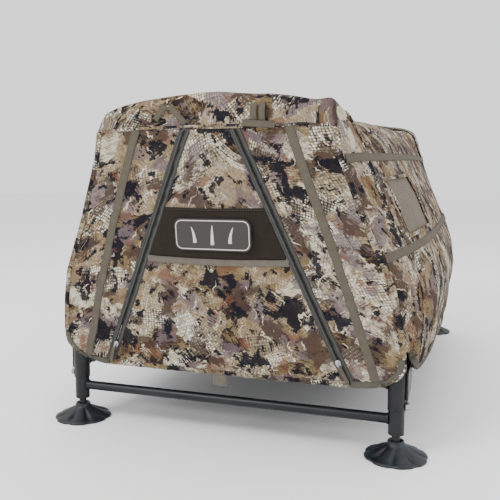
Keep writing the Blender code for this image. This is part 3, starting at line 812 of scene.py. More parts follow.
def raised(sheet, spots, lift, direction=1):
    """Points `lift` off one face of a sheet at (row, column) spots, and the cloth's normals there."""
    normals = [sheet.normal(*spot) * direction for spot in spots]
    points = [sheet.at(*spot) + normal * lift for spot, normal in zip(spots, normals)]
    return points, normals


def surface_path(sheet, spots, lift=TRIM_LIFT):
    """The same for (across, height) spots on an end wall's sheet."""
    return raised(sheet, [sheet.find(across, z) for across, z in spots], lift)


def down_column(column, first, last, count):
    """Even spots down one grid column."""
    return [(row, column) for row in np.linspace(first, last, count)]


def along_row(row, first, last, count):
    """Even spots along one grid row."""
    return [(row, column) for column in np.linspace(first, last, count)]


def distances(points):
    """Distance along a path at each of its points."""
    return np.concatenate([[0], np.cumsum(np.linalg.norm(np.diff(points, axis=0), axis=1))])


def spread(spots, count):
    """Even steps along a polyline of (across, height) spots."""
    corners = np.array(spots, float)
    steps = distances(corners)
    places = np.linspace(0, steps[-1], count)
    return list(zip(np.interp(places, steps, corners[:, 0]), np.interp(places, steps, corners[:, 1])))


# ---------------------------------------------------------------- cover between the hoops
STRAP_ROWS = (("upper", 4.9), ("lower", 3.5))
WINDOW_Y = (-0.392, -0.200)
WINDOW_Z = (0.356, 0.440)
LAP = 0.012
SHELL_STATIONS = 80
SHELL_COLUMNS = 61
SEAM_STATION = 40
SEAM_COLUMNS = (44, 76)
TUCK_ROWS = 4


def section_rows(count, first, last):
    """Fractional section rows at even steps along the mid section's curve."""
    fine = np.linspace(first, last, 240)
    steps = distances(np.array([smooth_at(MID_SECTION, row) for row in fine]))
    return np.interp(np.linspace(0, steps[-1], count), steps, fine)


def column_at(level, count, last):
    """Column at which a section row falls, of `count` columns from the hem up to row `last`."""
    return float(np.interp(level, section_rows(count, 0.0, last), range(count)))


def across_section(count, lowest):
    """(row, side) pairs from the left edge over the crown to the right edge."""
    half = section_rows(count, lowest, LAST_ROW)
    return [(row, -1) for row in half] + [(row, 1) for row in reversed(half[:-1])]


def shell_sheet():
    """Side walls and roof as one cloth, from hem over the crown to hem."""
    columns = across_section(SHELL_COLUMNS, 0.0)
    stations = np.linspace(BAND_SHARE - LAP, 1 - BAND_SHARE + LAP, SHELL_STATIONS)
    sheet = Sheet("cover_shell", [[cover_point(row, share, side) for row, side in columns]
                                  for share in stations])

    def sink(row, column):
        tuck = max(0.0, 1 - min(row, SHELL_STATIONS - 1 - row) / TUCK_ROWS)
        return mix(roof_dip(sheet.points[row, column]), -0.0026, tuck)
    sheet.push(sink)
    return sheet


def roof_dip(point):
    """The roof sinks between the hoops, most of all just behind the front hood."""
    x, y, z = point
    high = min(max((z - SINK_Z) / SINK_RAMP, 0), 1)
    return -high * sum(depth * math.exp(-((y - middle) / reach) ** 2)
                       for middle, reach, depth in ROOF_SINKS)


def shell_pin(row, column, count, width):
    """Held along the hoops and hems, and lightly everywhere else."""
    edge = min(row, count - 1 - row)
    hem = min(column, width - 1 - column)
    if edge <= 2 or hem <= 1:
        return 1.0
    return 0.04


def window_cells(sheet, side):
    """First and last grid row and column of the window opening on one side."""
    count, width = sheet.points.shape[:2]
    inside = [(row, column) for row in range(count - 1) for column in range(width - 1)
              if in_window((sheet.points[row, column] + sheet.points[row + 1, column + 1]) / 2, side)]
    rows = [row for row, column in inside]
    columns = [column for row, column in inside]
    return min(rows), max(rows) + 1, min(columns), max(columns) + 1


def in_window(point, side):
    x, y, z = point
    return x * side > 0 and WINDOW_Y[0] < y < WINDOW_Y[1] and WINDOW_Z[0] < z < WINDOW_Z[1]


def make_shell():
    """Cover between the hoops, with its windows, hems, straps and roof seam."""
    sheet = shell_sheet()
    windows = {word: window_cells(sheet, side) for word, side in SIDES.items()}
    sheet.cut_now(lambda row, column: not in_any(windows.values(), row, column))
    settle(sheet, shell_pin, frames=26, slack=0.006, cap=0.006)
    rumple(sheet, depth=0.0030, size=0.085, seed=3.0, edge=3)
    shell = cloth_piece("cover_shell", sheet, "stand", ("left_side_wall", "right_side_wall", "roof"))
    pieces = [shell]
    for word, cells in windows.items():
        pieces += make_window(sheet, word, cells)
    for word, side in SIDES.items():
        pieces += make_side_trims(sheet, word, side)
    seam = along_row(SEAM_STATION, *SEAM_COLUMNS, 60)
    pieces.append(camo_trim("roof_seam", raised(sheet, seam, TRIM_LIFT), 0.010, "stand", 0.0007,
                            EDGE_LINES))
    for piece in pieces:
        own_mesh(piece)


def in_any(areas, row, column):
    """Whether a grid cell lies in one of the (top, bottom, left, right) areas."""
    return any(top <= row < bottom and left <= column < right for top, bottom, left, right in areas)


def make_window(sheet, word, cells):
    """Mesh pane behind the opening and the cloth bound round its edge."""
    top, bottom, left, right = cells
    pane = Sheet(f"{word}_window", sheet.points[top - 1:bottom + 2, left - 1:right + 2])
    pane.push(lambda row, column: -0.0022)
    pane.cut_now()
    pieces = [cloth_piece(f"{word}_window_pane", pane, "stand", (f"{word}_window_mesh",),
                          "window", "window", thickness=0.0006)]
    corners = [(top, left), (top, right), (bottom, right), (bottom, left)]
    for index, (start, end) in enumerate(zip(corners, corners[1:] + corners[:1])):
        spots = [(mix(start[0], end[0], share), mix(start[1], end[1], share))
                 for share in np.linspace(-0.03, 1.03, 12)]
        pieces.append(camo_trim(f"{word}_window_frame_{index + 1}", raised(sheet, spots, STRAP_LIFT), 0.006,
                                "stand", 0.0009))
    return pieces


def make_side_trims(sheet, word, side):
    """Hem binding of a side wall and the webbing above and below its window, from band to band."""
    count, width = sheet.points.shape[:2]
    column = HEM_PLACE if side < 0 else width - 1 - HEM_PLACE
    trims = hem_binding(f"{word}_side_hem", sheet, [(row, column) for row in range(count)], "stand")
    for label, level in STRAP_ROWS:
        distance = column_at(level, SHELL_COLUMNS, LAST_ROW)
        column = distance if side < 0 else width - 1 - distance
        path = raised(sheet, down_column(column, 0, count - 1, 90), STRAP_LIFT)
        trims.append(ribbon(f"{word}_side_strap_{label}", path, STRAP, "strap", "stand"))
    return trims


# ---------------------------------------------------------------- hood and bands on the hoops
HOOD_ROUND = 0.014
PLEATED_CORNER = (-1, 1)
PLEAT_ROW = 6.8
PLEAT_SPAN = 0.32
PLEAT_RISE = (0.008, 0, 0.015)
HOOD_COLUMNS = 27
HOOD_PIPING = (("seam", 21.1), ("rim", 0.5))
BAND_COLUMNS = 44
BAND_STATIONS = 12
BAND_LAST = SEAM_ROW + 0.15


def fold_with_hoop(obj, end_word, end):
    """Give a piece its own copy of its mesh; it is not flattened or folded with the hoop."""
    outward = Vector((0, end, -end_slope(end)))
    wall_point(end, 0, MIDDLE.z)
    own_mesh(obj)


def hood_sheet(end):
    """Top of the hood: from the band's inner edge, over the rounded rim and down to the door's seam."""
    first = BAND_SHARE if end < 0 else 1 - BAND_SHARE
    edge = 0.0 if end < 0 else 1.0
    half_seam = end_half_width(end, SEAM_ROW)
    lines = []
    for row, side in across_section(HOOD_COLUMNS, SEAM_ROW):
        rim = cover_point(row, edge, side, 0.0)
        if (end, side) == PLEATED_CORNER:
            rim += pleat(row)
        back = cover_point(row, first, side)
        share = (row - SEAM_ROW) / (LAST_ROW - SEAM_ROW)
        foot = wall_point(end, side * half_seam * (1 - share) ** 0.9, hinge_z(end) - 0.003, 0.0008)
        lines.append(rim_line(back, rim + (rim - back).normalized() * 0.001, foot))
    columns = [[line[index] for line in lines] for index in range(len(lines[0]))]
    return Sheet("hood", columns)


def pleat(row):
    """The front hood's right top corner stands up in a small pleat."""
    return Vector(PLEAT_RISE) * math.exp(-((row - PLEAT_ROW) / PLEAT_SPAN) ** 2)


def rim_line(back, rim, foot):
    """From `back` towards `rim`, round it, and on to `foot`."""
    before = rim + (back - rim).normalized() * HOOD_ROUND
    after = rim + (foot - rim).normalized() * min(HOOD_ROUND, 0.45 * (foot - rim).length)
    bend = [before.lerp(rim, t).lerp(rim.lerp(after, t), t) for t in np.linspace(0, 1, 7)]
    flat = [back.lerp(before, share) for share in np.linspace(0, 1, 9)[:-1]]
    face = [after.lerp(foot, share) for share in np.linspace(0, 1, 9)[1:]]
    return flat + bend + face


def make_hood(end_word, end):
    """Hood over a hoop, piped along its rim and seam, and the sleeves down the hoop's sides."""
    body = f"{end_word}_hoop_frame"
    sheet = hood_sheet(end)
    sheet.cut_now()
    rumple(sheet, depth=0.0022, size=0.060, seed=9.0 + end)
    pieces = [cloth_piece(f"{end_word}_hood", sheet, body, (f"{end_word}_band", f"{end_word}_visor"),
                          offset=(0.35, 1.7 + end))]
    for label, row in HOOD_PIPING:
        path = raised(sheet, along_row(row, 0.5, sheet.points.shape[1] - 1.5, 90), TRIM_LIFT)
        pieces.append(camo_trim(f"{end_word}_hood_{label}_piping", path, 0.0040, body, 0.0008))
    for side_word, side in SIDES.items():
        pieces += make_side_band(end_word, end, side_word, side)
    for piece in pieces:
        fold_with_hoop(piece, end_word, end)


def make_side_band(end_word, end, side_word, side):
    """Sleeve of cloth down the side of a hoop, from the hood to the arched hem."""
    body = f"{end_word}_hoop_frame"
    first, last = (0.002, BAND_SHARE) if end < 0 else (0.998, 1 - BAND_SHARE)
    rows = section_rows(BAND_COLUMNS, 0.0, BAND_LAST)
    sheet = Sheet("side_band", [[cover_point(row, share, side) for row in rows]
                                for share in np.linspace(first, last, BAND_STATIONS)])
    sheet.cut_now()
    sheet.push(lambda row, column: 0.0024 * math.sin(math.pi * row / (BAND_STATIONS - 1)))
    rumple(sheet, depth=0.0022, size=0.045, seed=17.0 + end + 3 * side)
    name = f"{end_word}_side_band_{side_word}"
    band = cloth_piece(name, sheet, body, (f"{end_word}_band",),
                       offset=(0.9 + side, 0.4 + end))
    hem = Sheet("hem", np.swapaxes(sheet.points, 0, 1)[:3])
    seam = raised(sheet, along_row(10.6, 0.5, 42.5, 70), 0.0005)
    pieces = [band, *hem_edge(f"{name}_hem", hem, body),
              camo_trim(f"{name}_inner_seam", seam, 0.006, body, 0.0008)]
    for label, level in STRAP_ROWS:
        column = column_at(level, BAND_COLUMNS, BAND_LAST)
        path = raised(sheet, down_column(column, 0.3, 10.8, 24), STRAP_LIFT)
        pieces.append(ribbon(f"{name}_strap_{label}", path, STRAP, "strap", body))
    return pieces


def hem_edge(name, sheet, body, material="binding"):
    """Binding along a sheet's first row."""
    return hem_binding(name, sheet, along_row(HEM_PLACE, 0, sheet.points.shape[1] - 1, 40), body, material)


# ---------------------------------------------------------------- end panels and doors
ROWS = 46
LIFTED_ROWS = 12
HEM_LIFT = {"left": 0.014, "right": 0.008}
PANEL_COLUMNS = 21
DOOR_COLUMNS = 41
PANEL_STRAP = ((0.127, 0.516), (0.177, 0.375), (0.220, 0.245), (0.249, 0.149), (0.256, 0.122))
CORNER_TOP = 0.158
DOOR_BAND = (0.313, 0.392)
TAPE = 0.0088
ZIP_GAP = 0.0008
COIL_SPARE = 0.002
COIL_PITCH = 0.0019
COIL_TURN = (0.0019, 0.00065, 0.0010)


def wall_sheet(end, left_edge, right_edge, columns, belly, lift=0.0):
    """Sheet on an end wall between two edges given as functions of height; its last column's hem
    is drawn up by `lift`."""
    top = hinge_z(end)
    heights = np.linspace(HEM_Z, top, ROWS)
    lines = []
    for row, z in enumerate(heights):
        line = []
        for column in range(columns):
            across = mix(left_edge(z), right_edge(z), column / (columns - 1))
            swell = math.sin(math.pi * row / (ROWS - 1)) * math.sin(math.pi * column / (columns - 1))
            drawn = lift * (column / (columns - 1)) ** 2 * max(0.0, 1 - row / LIFTED_ROWS) ** 2
            line.append(wall_point(end, across, z + drawn, belly * swell))
        lines.append(line)
    sheet = Sheet("wall", lines)

    def find(across, z):
        low, high = left_edge(z), right_edge(z)
        return ((z - HEM_Z) / (top - HEM_Z) * (ROWS - 1), (across - low) / (high - low) * (columns - 1))
    sheet.find = find
    return sheet


def wall_pin(row, column, count, width):
    """Held at the hood's seam and the side edges, less at the hem and hardly at all between."""
    if row >= count - 2 or column in (0, width - 1):
        return 1.0
    return 0.6 if row == 0 else 0.02


def make_panel(end_word, end, side_word, side):
    """Fixed cloth beside a door, with its strap, half of the zip and bound edges."""
    body = f"{end_word}_hoop_frame"
    name = f"{end_word}_panel_{side_word}"
    sheet = wall_sheet(end, lambda z: side * (zip_half_width(end, z) + ZIP_GAP),
                       lambda z: side * edge_half_width(end, z), PANEL_COLUMNS, 0.003, HEM_LIFT[side_word])
    sheet.cut_now()
    settle(sheet, wall_pin, frames=24, slack=0.012, cap=0.010)
    rumple(sheet, depth=0.0016, size=0.060, seed=23.0 + 2 * side + end)
    cloth_piece(f"{name}_cloth", sheet, body, (name,),
                offset=(2.1 + side * 0.3, 0.7 + end))
    spots = spread([(side * x, end_height(end, z)) for x, z in PANEL_STRAP], 60)
    ribbon(f"{name}_strap", surface_path(sheet, spots), STRAP, "strap", body)
    zip_half(f"{end_word}_zip_{side_word}_outer_tape", sheet, end, side, 1, body)
    edge = raised(sheet, down_column(PANEL_COLUMNS - 1.35, 0.2, ROWS - 1.5, 70), TRIM_LIFT)
    camo_trim(f"{name}_edge", edge, 0.009, body, 0.0012, (-0.25,))
    hem_edge(f"{name}_hem", sheet, body)
    corner = [(side * (edge_half_width(end, z) - 0.0045), z + 0.004)
              for z in np.linspace(HEM_Z, CORNER_TOP, 24)]
    ribbon(f"{name}_corner_binding", surface_path(sheet, corner, 0.0018), 0.010, "binding", body, 0.0008)


def zip_line(end, side, away, heights):
    """(across, height) spots at a distance from a zip's middle, away from the door if positive."""
    return [(side * (zip_half_width(end, z) + away), z) for z in heights]


def zip_half(name, sheet, end, side, direction, body):
    """Half of a zip: ridged tape along the cloth's edge with its row of coil teeth."""
    heights = np.linspace(HEM_Z + 0.002, hinge_z(end) - 0.004, 90)
    middle = zip_line(end, side, direction * (ZIP_GAP + TAPE / 2), heights)
    ribbon(name, surface_path(sheet, middle), TAPE, "zip_tape", body, 0.0009, profile=RIDGED_PROFILE,
           lines=(-0.42, 0.42), thread="zip_coil")
    edge = zip_line(end, side, direction * (ZIP_GAP + 0.0010), heights)
    make_coil(name.replace("tape", "coil"), surface_path(sheet, edge, 0.0012), body)


def make_coil(name, path, body):
    """Row of small coil turns."""
    points, normals = path
    sides = path_sides(points, normals)
    build = bmesh.new()
    half_across, half_along, half_high = COIL_TURN
    for index, portion in path_places(points, COIL_SPARE, COIL_SPARE, COIL_PITCH):
        run = (points[index + 1] - points[index]).normalized()
        middle = points[index].lerp(points[index + 1], portion)
        add_grain(build, middle, sides[index] * half_across, run * half_along, normals[index] * half_high)
    mesh = finished_mesh(name, build)
    set_cloth_map(mesh, [(vert.co.x, vert.co.z) for vert in mesh.vertices])
    obj = link(name, mesh, MATS["zip_coil"])
    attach(obj, body)


def make_door(end_word, end):
    """Door cloth between the zips, with its band, pull tab and badge; returns its sheet."""
    body = f"{end_word}_door_flap"
    sheet = wall_sheet(end, lambda z: ZIP_GAP - zip_half_width(end, z),
                       lambda z: zip_half_width(end, z) - ZIP_GAP, DOOR_COLUMNS, 0.005)
    sheet.cut_now()
    settle(sheet, wall_pin, frames=24, slack=0.012, cap=0.012)
    rumple(sheet, depth=0.0020, size=0.075, seed=41.0 + end)
    cloth_piece(f"{end_word}_door_cloth", sheet, body, (f"{end_word}_door",),
                offset=(3.3, 1.1 + end))
    hem_edge(f"{end_word}_door_hem", sheet, body, "camo")
    for side_word, side in SIDES.items():
        zip_half(f"{end_word}_zip_{side_word}_inner_tape", sheet, end, side, -1, body)
    make_door_band(end_word, end, sheet, body)
    make_tab(end_word, sheet, body)
    if end < 0:
        make_badge(sheet, body)
    return sheet


def make_door_band(end_word, end, sheet, body):
    """Dark band across the door with a strip of light webbing under it."""
    def reach(z):
        return zip_half_width(end, z) - ZIP_GAP - TAPE
    low, high = (end_height(end, z) for z in DOOR_BAND)
    lines = [[(across, z) for across in np.linspace(-reach(z), reach(z), 36)]
             for z in np.linspace(low, high, 12)]
    band = Sheet("door_band", [surface_path(sheet, line, 0.0011)[0] for line in lines])
    band.cut_now()
    cloth_piece(f"{end_word}_door_band", band, body, (), "door_band",
                "door_band", thickness=0.0008)
    for label, z, width, material in (("strip", low - BINDING / 2, BINDING, "webbing"),
                                      ("top", high, 0.004, "door_band")):
        path = surface_path(sheet, spread([(-reach(z), z), (reach(z), z)], 50), STRAP_LIFT)
        ribbon(f"{end_word}_door_{label}", path, width, material, body, 0.0016)


TAB_WIDTH = 0.025
TAB_TURN = ((0.0010, -0.010), (0.0012, 0.004), (0.0014, 0.014), (0.0006, 0.0185), (-0.0012, 0.0185),
            (-0.0022, 0.014), (-0.0024, 0.004), (-0.0024, -0.006))
BADGE_Z = 0.352
BADGE_SIZE = (0.130, 0.052)
BADGE_CORNER = 0.012
BADGE_THICKNESS = 0.0016
RIM_INSET = 0.003
RIM_CORNER = 0.010
RIM_R = 0.0008
REED_LEAN = 0.02
REED_HALF_ROOT = 0.0030
REED_HALF_TIP = 0.0004
REED_RELIEF = ((-1, 0.0016), (-0.6, 0.0024), (0.6, 0.0024), (1, 0.0016))
REEDS = ((-0.030, -0.25, 0.026), (0.0, 0.05, 0.032), (0.030, 0.30, 0.026))


def make_tab(end_word, sheet, body):
    """Folded webbing pull tab at the middle of the door's hem."""
    spot = sheet.find(-0.005, HEM_Z - 0.001)
    centre, outward = sheet.at(*spot), sheet.normal(*spot)
    points = [centre + outward * out - UP * down for out, down in TAB_TURN]
    normals = [ACROSS.cross(run).normalized() for run in runs(points)]
    if normals[0].dot(outward) < 0:
        normals = [-normal for normal in normals]
    tab = ribbon(f"{end_word}_door_pull", (points, normals), TAB_WIDTH, "webbing", body, 0.0012,
                 sides=[ACROSS] * len(points))
    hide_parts(f"{end_word}_door_tab")


def placed(centre, across, up, outward):
    """Matrix that puts a part drawn flat at the origin onto the cloth."""
    return Matrix.Translation(centre) @ Matrix((across, up, outward)).transposed().to_4x4()


def make_badge(sheet, body):
    """Moulded badge with a raised rim and three plain reed strokes."""
    spot = sheet.find(0.0, BADGE_Z)
    centre, outward = sheet.at(*spot), sheet.normal(*spot)
    place = placed(centre + outward * 0.0024, ACROSS, outward.cross(ACROSS).normalized(), outward)
    plate = bmesh.new()
    width, height = BADGE_SIZE
    add_plate(plate, width, height, BADGE_CORNER, BADGE_THICKNESS)
    plate.transform(place)
    hard_piece("door_badge_plate", plate, "badge_base", body, ("door_emblem",), 35)
    marks = bmesh.new()
    rim = rectangle_loop(width - 2 * RIM_INSET, height - 2 * RIM_INSET, RIM_CORNER, BADGE_THICKNESS)
    rounded_tube(marks, rim, RIM_R)
    for reed in REEDS:
        add_reed(marks, *reed)
    marks.transform(place)
    hard_piece("door_badge_reeds", marks, "badge", body, (), 180)


def rectangle_loop(width, height, corner, z):
    """Flat loop round a rectangle with rounded corners."""
    loop = []
    for across, up, start in ((1, 1, 0), (-1, 1, 90), (-1, -1, 180), (1, -1, 270)):
        for step in range(0, 91, 15):
            angle = math.radians(start + step)
            loop.append(Vector((across * (width / 2 - corner) + corner * math.cos(angle),
                                up * (height / 2 - corner) + corner * math.sin(angle), z)))
    return loop


def join_rings(build, rings, closed=False):
    """Quads from each ring to the next; the ends are capped, or joined to each other if closed."""
    following = rings[1:] + rings[:1] if closed else rings[1:]
    for lower, upper in zip(rings, following):
        for index in range(len(lower)):
            after = (index + 1) % len(lower)
            build.faces.new((lower[index], lower[after], upper[after], upper[index]))
    if not closed:
        build.faces.new(rings[-1])
        build.faces.new(list(reversed(rings[0])))


def circle(build, centre, side, other, radius, count):
    """Ring of vertices about a centre, in the plane of two unit vectors."""
    angles = [2 * math.pi * step / count for step in range(count)]
    return [build.verts.new(centre + (side * math.cos(a) + other * math.sin(a)) * radius) for a in angles]


def inset_rings(build, outline, middle, levels, place):
    """Rings of an outline drawn in towards `middle`, one at each (inset, depth) level."""
    rings = []
    for inset, depth in levels:
        ring = []
        for spot in outline:
            away = Vector(spot) - middle
            first, second = middle + away * (1 - inset / away.length)
            ring.append(build.verts.new(place(first, second, depth)))
        rings.append(ring)
    return rings


def add_plate(build, width, height, corner, thickness):
    """Rounded plate with a chamfered upper edge."""
    rings = []
    for inset, z in ((0.0, 0.0), (0.0, thickness - 0.0005), (0.0006, thickness)):
        loop = rectangle_loop(width - 2 * inset, height - 2 * inset, corner - inset, z)
        rings.append([build.verts.new(point) for point in loop])
    join_rings(build, rings)


def rounded_tube(build, loop, radius):
    """Closed round bead along a flat loop of points."""
    rings = []
    for index, point in enumerate(loop):
        run = (loop[(index + 1) % len(loop)] - loop[index - 1]).normalized()
        rings.append(circle(build, point, run.cross(UP), UP, radius, 8))
    join_rings(build, rings, closed=True)


def add_reed(build, shift, lean, height):
    """A tapered, leaning stroke of the badge's relief."""
    rings = []
    for share in np.linspace(0, 1, 9):
        x = shift + lean * REED_LEAN * share ** 2
        y = -height / 2 + height * share
        half = REED_HALF_ROOT * (1 - share) ** 0.6 + REED_HALF_TIP
        rings.append([build.verts.new((x + dx * half, y, z)) for dx, z in REED_RELIEF])
    join_rings(build, rings)


# ---------------------------------------------------------------- zip sliders
SLIDER_RISE = 0.035
SLIDER_OUTLINE = ((-0.0046, 0.006), (-0.0028, 0.0085), (0.0028, 0.0085), (0.0046, 0.006),
                  (0.0030, -0.0075), (-0.0030, -0.0075))
SLIDER_HIGH = 0.0024
SLIDER_LIFT = 0.0016
BRIDGE_HALF = 0.0045
BRIDGE_RISE = 0.0026
BRIDGE_R = 0.0010
PULLER_WIDTH = 0.0065
PULLER_PATH = ((0, -0.002, 0.0052), (0, -0.007, 0.0048), (0.0004, -0.014, 0.0034),
               (0.0008, -0.022, 0.0026), (0.0010, -0.030, 0.0022))


def make_slider(end_word, end, side_word, side, sheet):
    """Slider body with its bridge and webbing puller, parked near the hem."""
    name = f"{end_word}_zip_slider_{side_word}"
    heights = (HEM_Z + SLIDER_RISE, HEM_Z + SLIDER_RISE + 0.02)
    low, above = (sheet.find(*spot) for spot in zip_line(end, side, -ZIP_GAP - 0.002, heights))
    centre, outward = sheet.at(*low), sheet.normal(*low)
    up = (sheet.at(*above) - centre).normalized()
    place = placed(centre + outward * SLIDER_LIFT, up.cross(outward).normalized(), up, outward)
    build = bmesh.new()
    add_prism(build, SLIDER_OUTLINE, SLIDER_HIGH, chamfer=0.0006)
    for angle in np.linspace(0, math.pi, 9):
        spot = (0, BRIDGE_HALF * math.cos(angle), SLIDER_HIGH + BRIDGE_RISE * math.sin(angle))
        bmesh.ops.create_icosphere(build, subdivisions=1, radius=BRIDGE_R, matrix=Matrix.Translation(spot))
    build.transform(place)
    hard_piece(name + "_body", build, "zinc", name, (name,))
    points = [place @ Vector(point) for point in PULLER_PATH]
    ribbon(name + "_puller", (points, [outward] * len(points)), PULLER_WIDTH, "strap", name, 0.0016,
           lines=(-0.3, 0.3))


def add_prism(build, outline, high, chamfer):
    """Extruded outline with a chamfered top edge, drawn in towards the outline's own centre."""
    middle = sum((Vector(spot) for spot in outline), Vector((0, 0))) / len(outline)
    levels = ((0.0, 0.0), (0.0, high - chamfer), (chamfer, high))
    join_rings(build, inset_rings(build, outline, middle, levels, lambda x, y, z: (x, y, z)))


# ---------------------------------------------------------------- frame, hoops, legs and feet
LEG_X = 0.286
LEG_Y = 0.470
RAIL_Z = 0.105
END_RAIL_Z = 0.120
RAIL_R = 0.010
LEG_R = 0.0127
SLEEVE_R = 0.0143
SLEEVE_BOTTOM = 0.076
SLEEVE_TOP = 0.152
CROSS_Z = 0.061
LOCK_Z = 0.084
CROSS_R = 0.008
BRACKET_X = (0.3006, 0.3036)
BRACKET_MIDDLE = (0.44, 0.117)
BRACKET_OUTLINE = ((0.474, 0.093), (0.426, 0.099), (0.412, 0.109), (0.407, 0.121), (0.407, 0.138),
                   (0.411, 0.143), (0.418, 0.1455), (0.432, 0.144), (0.474, 0.137))
TACK_Y = 0.474
TACK_HEIGHTS = (0.099, 0.115, 0.131)
TACK_R = 0.0035
PIVOT = (0.292, 0.420, 0.132)
PIVOT_HEAD = 0.3039
PIVOT_NUT = 0.2852
HOOP_TOP = (0.515, 0.551)
HOOP_R = 0.0064
HOOP_SECTION = ((0.292, 0.122), (0.292, 0.132), (0.292, 0.187), (0.289, 0.227), (0.280, 0.269),
                (0.243, 0.366), (0.201, 0.469), (0.190, 0.499), (0.177, 0.520), (0.156, 0.533),
                (0.118, 0.542), (0.060, 0.549), (0.0, 0.551))
BALL_Z = 0.020
BALL_R = 0.0085
SOCKET_R = 0.0091
PETALS = 8
PETAL_FROM = 0.016
PETAL_REACH = 0.034
PETAL_IN = 0.0030
LOBE_OUT = 0.0022
GROOVE_DEEP = 0.0042


def aim(direction):
    """Rotation that turns +Z to a direction."""
    return UP.rotation_difference(Vector(direction)).to_matrix().to_4x4()


def hard_piece(name, build, material, body, replaced=(), angle=40):
    """Finish a hard part: normals outwards, edges sharper than the angle kept crisp."""
    bmesh.ops.recalc_face_normals(build, faces=build.faces)
    mesh = finished_mesh(name, build)
    mesh.set_sharp_from_angle(angle=math.radians(angle))
    obj = link(name, mesh, MATS[material])
    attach(obj, body)
    if replaced:
        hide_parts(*replaced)


def steel_piece(name, build, body, replaced, angle=40):
    hard_piece(name, build, "steel", body, (replaced,), angle)


def zinc_piece(name, build, body, replaced):
    hard_piece(name, build, "zinc", body, (replaced,), 30)


def sweep(build, points, radius, sides=36):
    """Round tube along points, closed by slightly rounded end caps."""
    points = [Vector(point) for point in points]
    first = (points[1] - points[0]).normalized()
    last = (points[-1] - points[-2]).normalized()
    lip = radius * 0.12
    spine = [(points[0], first, radius - lip), (points[0] + first * lip, first, radius)]
    for index in range(1, len(points) - 1):
        run = (points[index + 1] - points[index - 1]).normalized()
        spine.append((points[index], run, radius))
    spine += [(points[-1] - last * lip, last, radius), (points[-1], last, radius - lip)]
    side = first.orthogonal().normalized()
    rings = []
    for centre, run, size in spine:
        side = (side - run * side.dot(run)).normalized()
        rings.append(circle(build, centre, side, run.cross(side), size, sides))
    join_rings(build, rings)


def lathe(build, profile, place, sides=48, wave=None):
    """Turn a closed (radius, height) profile; `wave` may reshape it by angle."""
    rings = []
    for radius, height in profile:
        ring = []
        for step in range(sides):
            angle = 2 * math.pi * step / sides
            r, h = wave(radius, height, angle) if wave else (radius, height)
            ring.append(build.verts.new(place @ Vector((r * math.cos(angle), r * math.sin(angle), h))))
        rings.append(ring)
    join_rings(build, rings, closed=True)
    bmesh.ops.remove_doubles(build, verts=build.verts, dist=1e-7)


def weld(build, centre, direction, radius, bead=0.0018):
    """Bumpy weld bead where a tube meets another."""
    place = Matrix.Translation(centre) @ aim(direction)
    rings = []
    for step in range(60):
        angle = 2 * math.pi * step / 60
        swell = bead * (1 + 0.18 * math.sin(15 * angle))
        out = Vector((math.cos(angle), math.sin(angle), 0))
        rings.append([build.verts.new(place @ (out * (radius + swell * math.cos(turn) * 0.7)
                                               + UP * swell * math.sin(turn)))
                      for turn in (2 * math.pi * part / 8 for part in range(8))])
    join_rings(build, rings, closed=True)


def make_rails():
    """Four rails of the stand, the end ones above the side ones."""
    for word, end in ENDS.items():
        make_rail(f"{word}_rail", Vector((LEG_X - SLEEVE_R, 0, 0)), Vector((0, end * LEG_Y, END_RAIL_Z)))
    for word, side in SIDES.items():
        make_rail(f"{word}_rail", Vector((0, LEG_Y - SLEEVE_R, 0)), Vector((side * LEG_X, 0, RAIL_Z)))


def make_rail(name, half, centre):
    """Tube between two corner sleeves, welded to both."""
    build = bmesh.new()
    sweep(build, [centre - half * 0.999, centre, centre + half * 0.999], RAIL_R)
    for direction in (-1, 1):
        weld(build, centre + half * direction * 0.996, half, RAIL_R, 0.0022)
    steel_piece(f"{name}_tube", build, "stand", name)


def make_corner(end_word, end, side_word, side):
    """Corner sleeve with its lock bolt, and the bracket and pivot bolt of the hoop."""
    tag = f"{end_word}_{side_word}"
    x, y = side * LEG_X, end * LEG_Y
    bore, lip = LEG_R + 0.0003, 0.0004
    wall = [(bore, SLEEVE_TOP - lip), (bore + lip, SLEEVE_TOP), (SLEEVE_R - lip, SLEEVE_TOP),
            (SLEEVE_R, SLEEVE_TOP - 0.0005), (SLEEVE_R, SLEEVE_BOTTOM + 0.0005),
            (SLEEVE_R - lip, SLEEVE_BOTTOM), (bore + lip, SLEEVE_BOTTOM), (bore, SLEEVE_BOTTOM + lip)]
    boss = [(0.0032, SLEEVE_R - 0.0008), (0.0075, SLEEVE_R - 0.0008), (0.0068, SLEEVE_R + 0.0002),
            (0.0032, SLEEVE_R + 0.0002)]
    sideways = Matrix.Translation((x, y, LOCK_Z)) @ aim((side, 0, 0))
    build = bmesh.new()
    lathe(build, wall, Matrix.Translation((x, y, 0)))
    lathe(build, boss, sideways, 24)
    steel_piece(f"corner_sleeve_tube_{tag}", build, "stand", f"corner_sleeve_{tag}")
    make_lock_bolt(tag, sideways)
    make_bracket(tag, end, side)
    make_pivot_bolt(tag, end, side)


def hex_wave(flats):
    """Reshape a lathe's outer radius into a hexagon of the given half-width across flats."""
    def wave(radius, height, angle):
        if radius < flats:
            return radius, height
        turn = (angle % (math.pi / 3)) - math.pi / 6
        return min(flats / math.cos(turn), radius), height
    return wave


def make_lock_bolt(tag, sideways):
    """Hexagon-headed bolt through the sleeve that grips the leg."""
    seat, tip = SLEEVE_R + 0.0003, LEG_R + 0.0004
    head = [(0, seat + 0.0060), (0.0047, seat + 0.0060), (0.0062, seat + 0.0052), (0.0062, seat),
            (0.0029, seat), (0.0029, tip), (0, tip)]
    build = bmesh.new()
    lathe(build, head, sideways, wave=hex_wave(0.0054))
    zinc_piece(f"lock_bolt_head_{tag}", build, f"lock_bolt_{tag}", f"lock_bolt_{tag}")


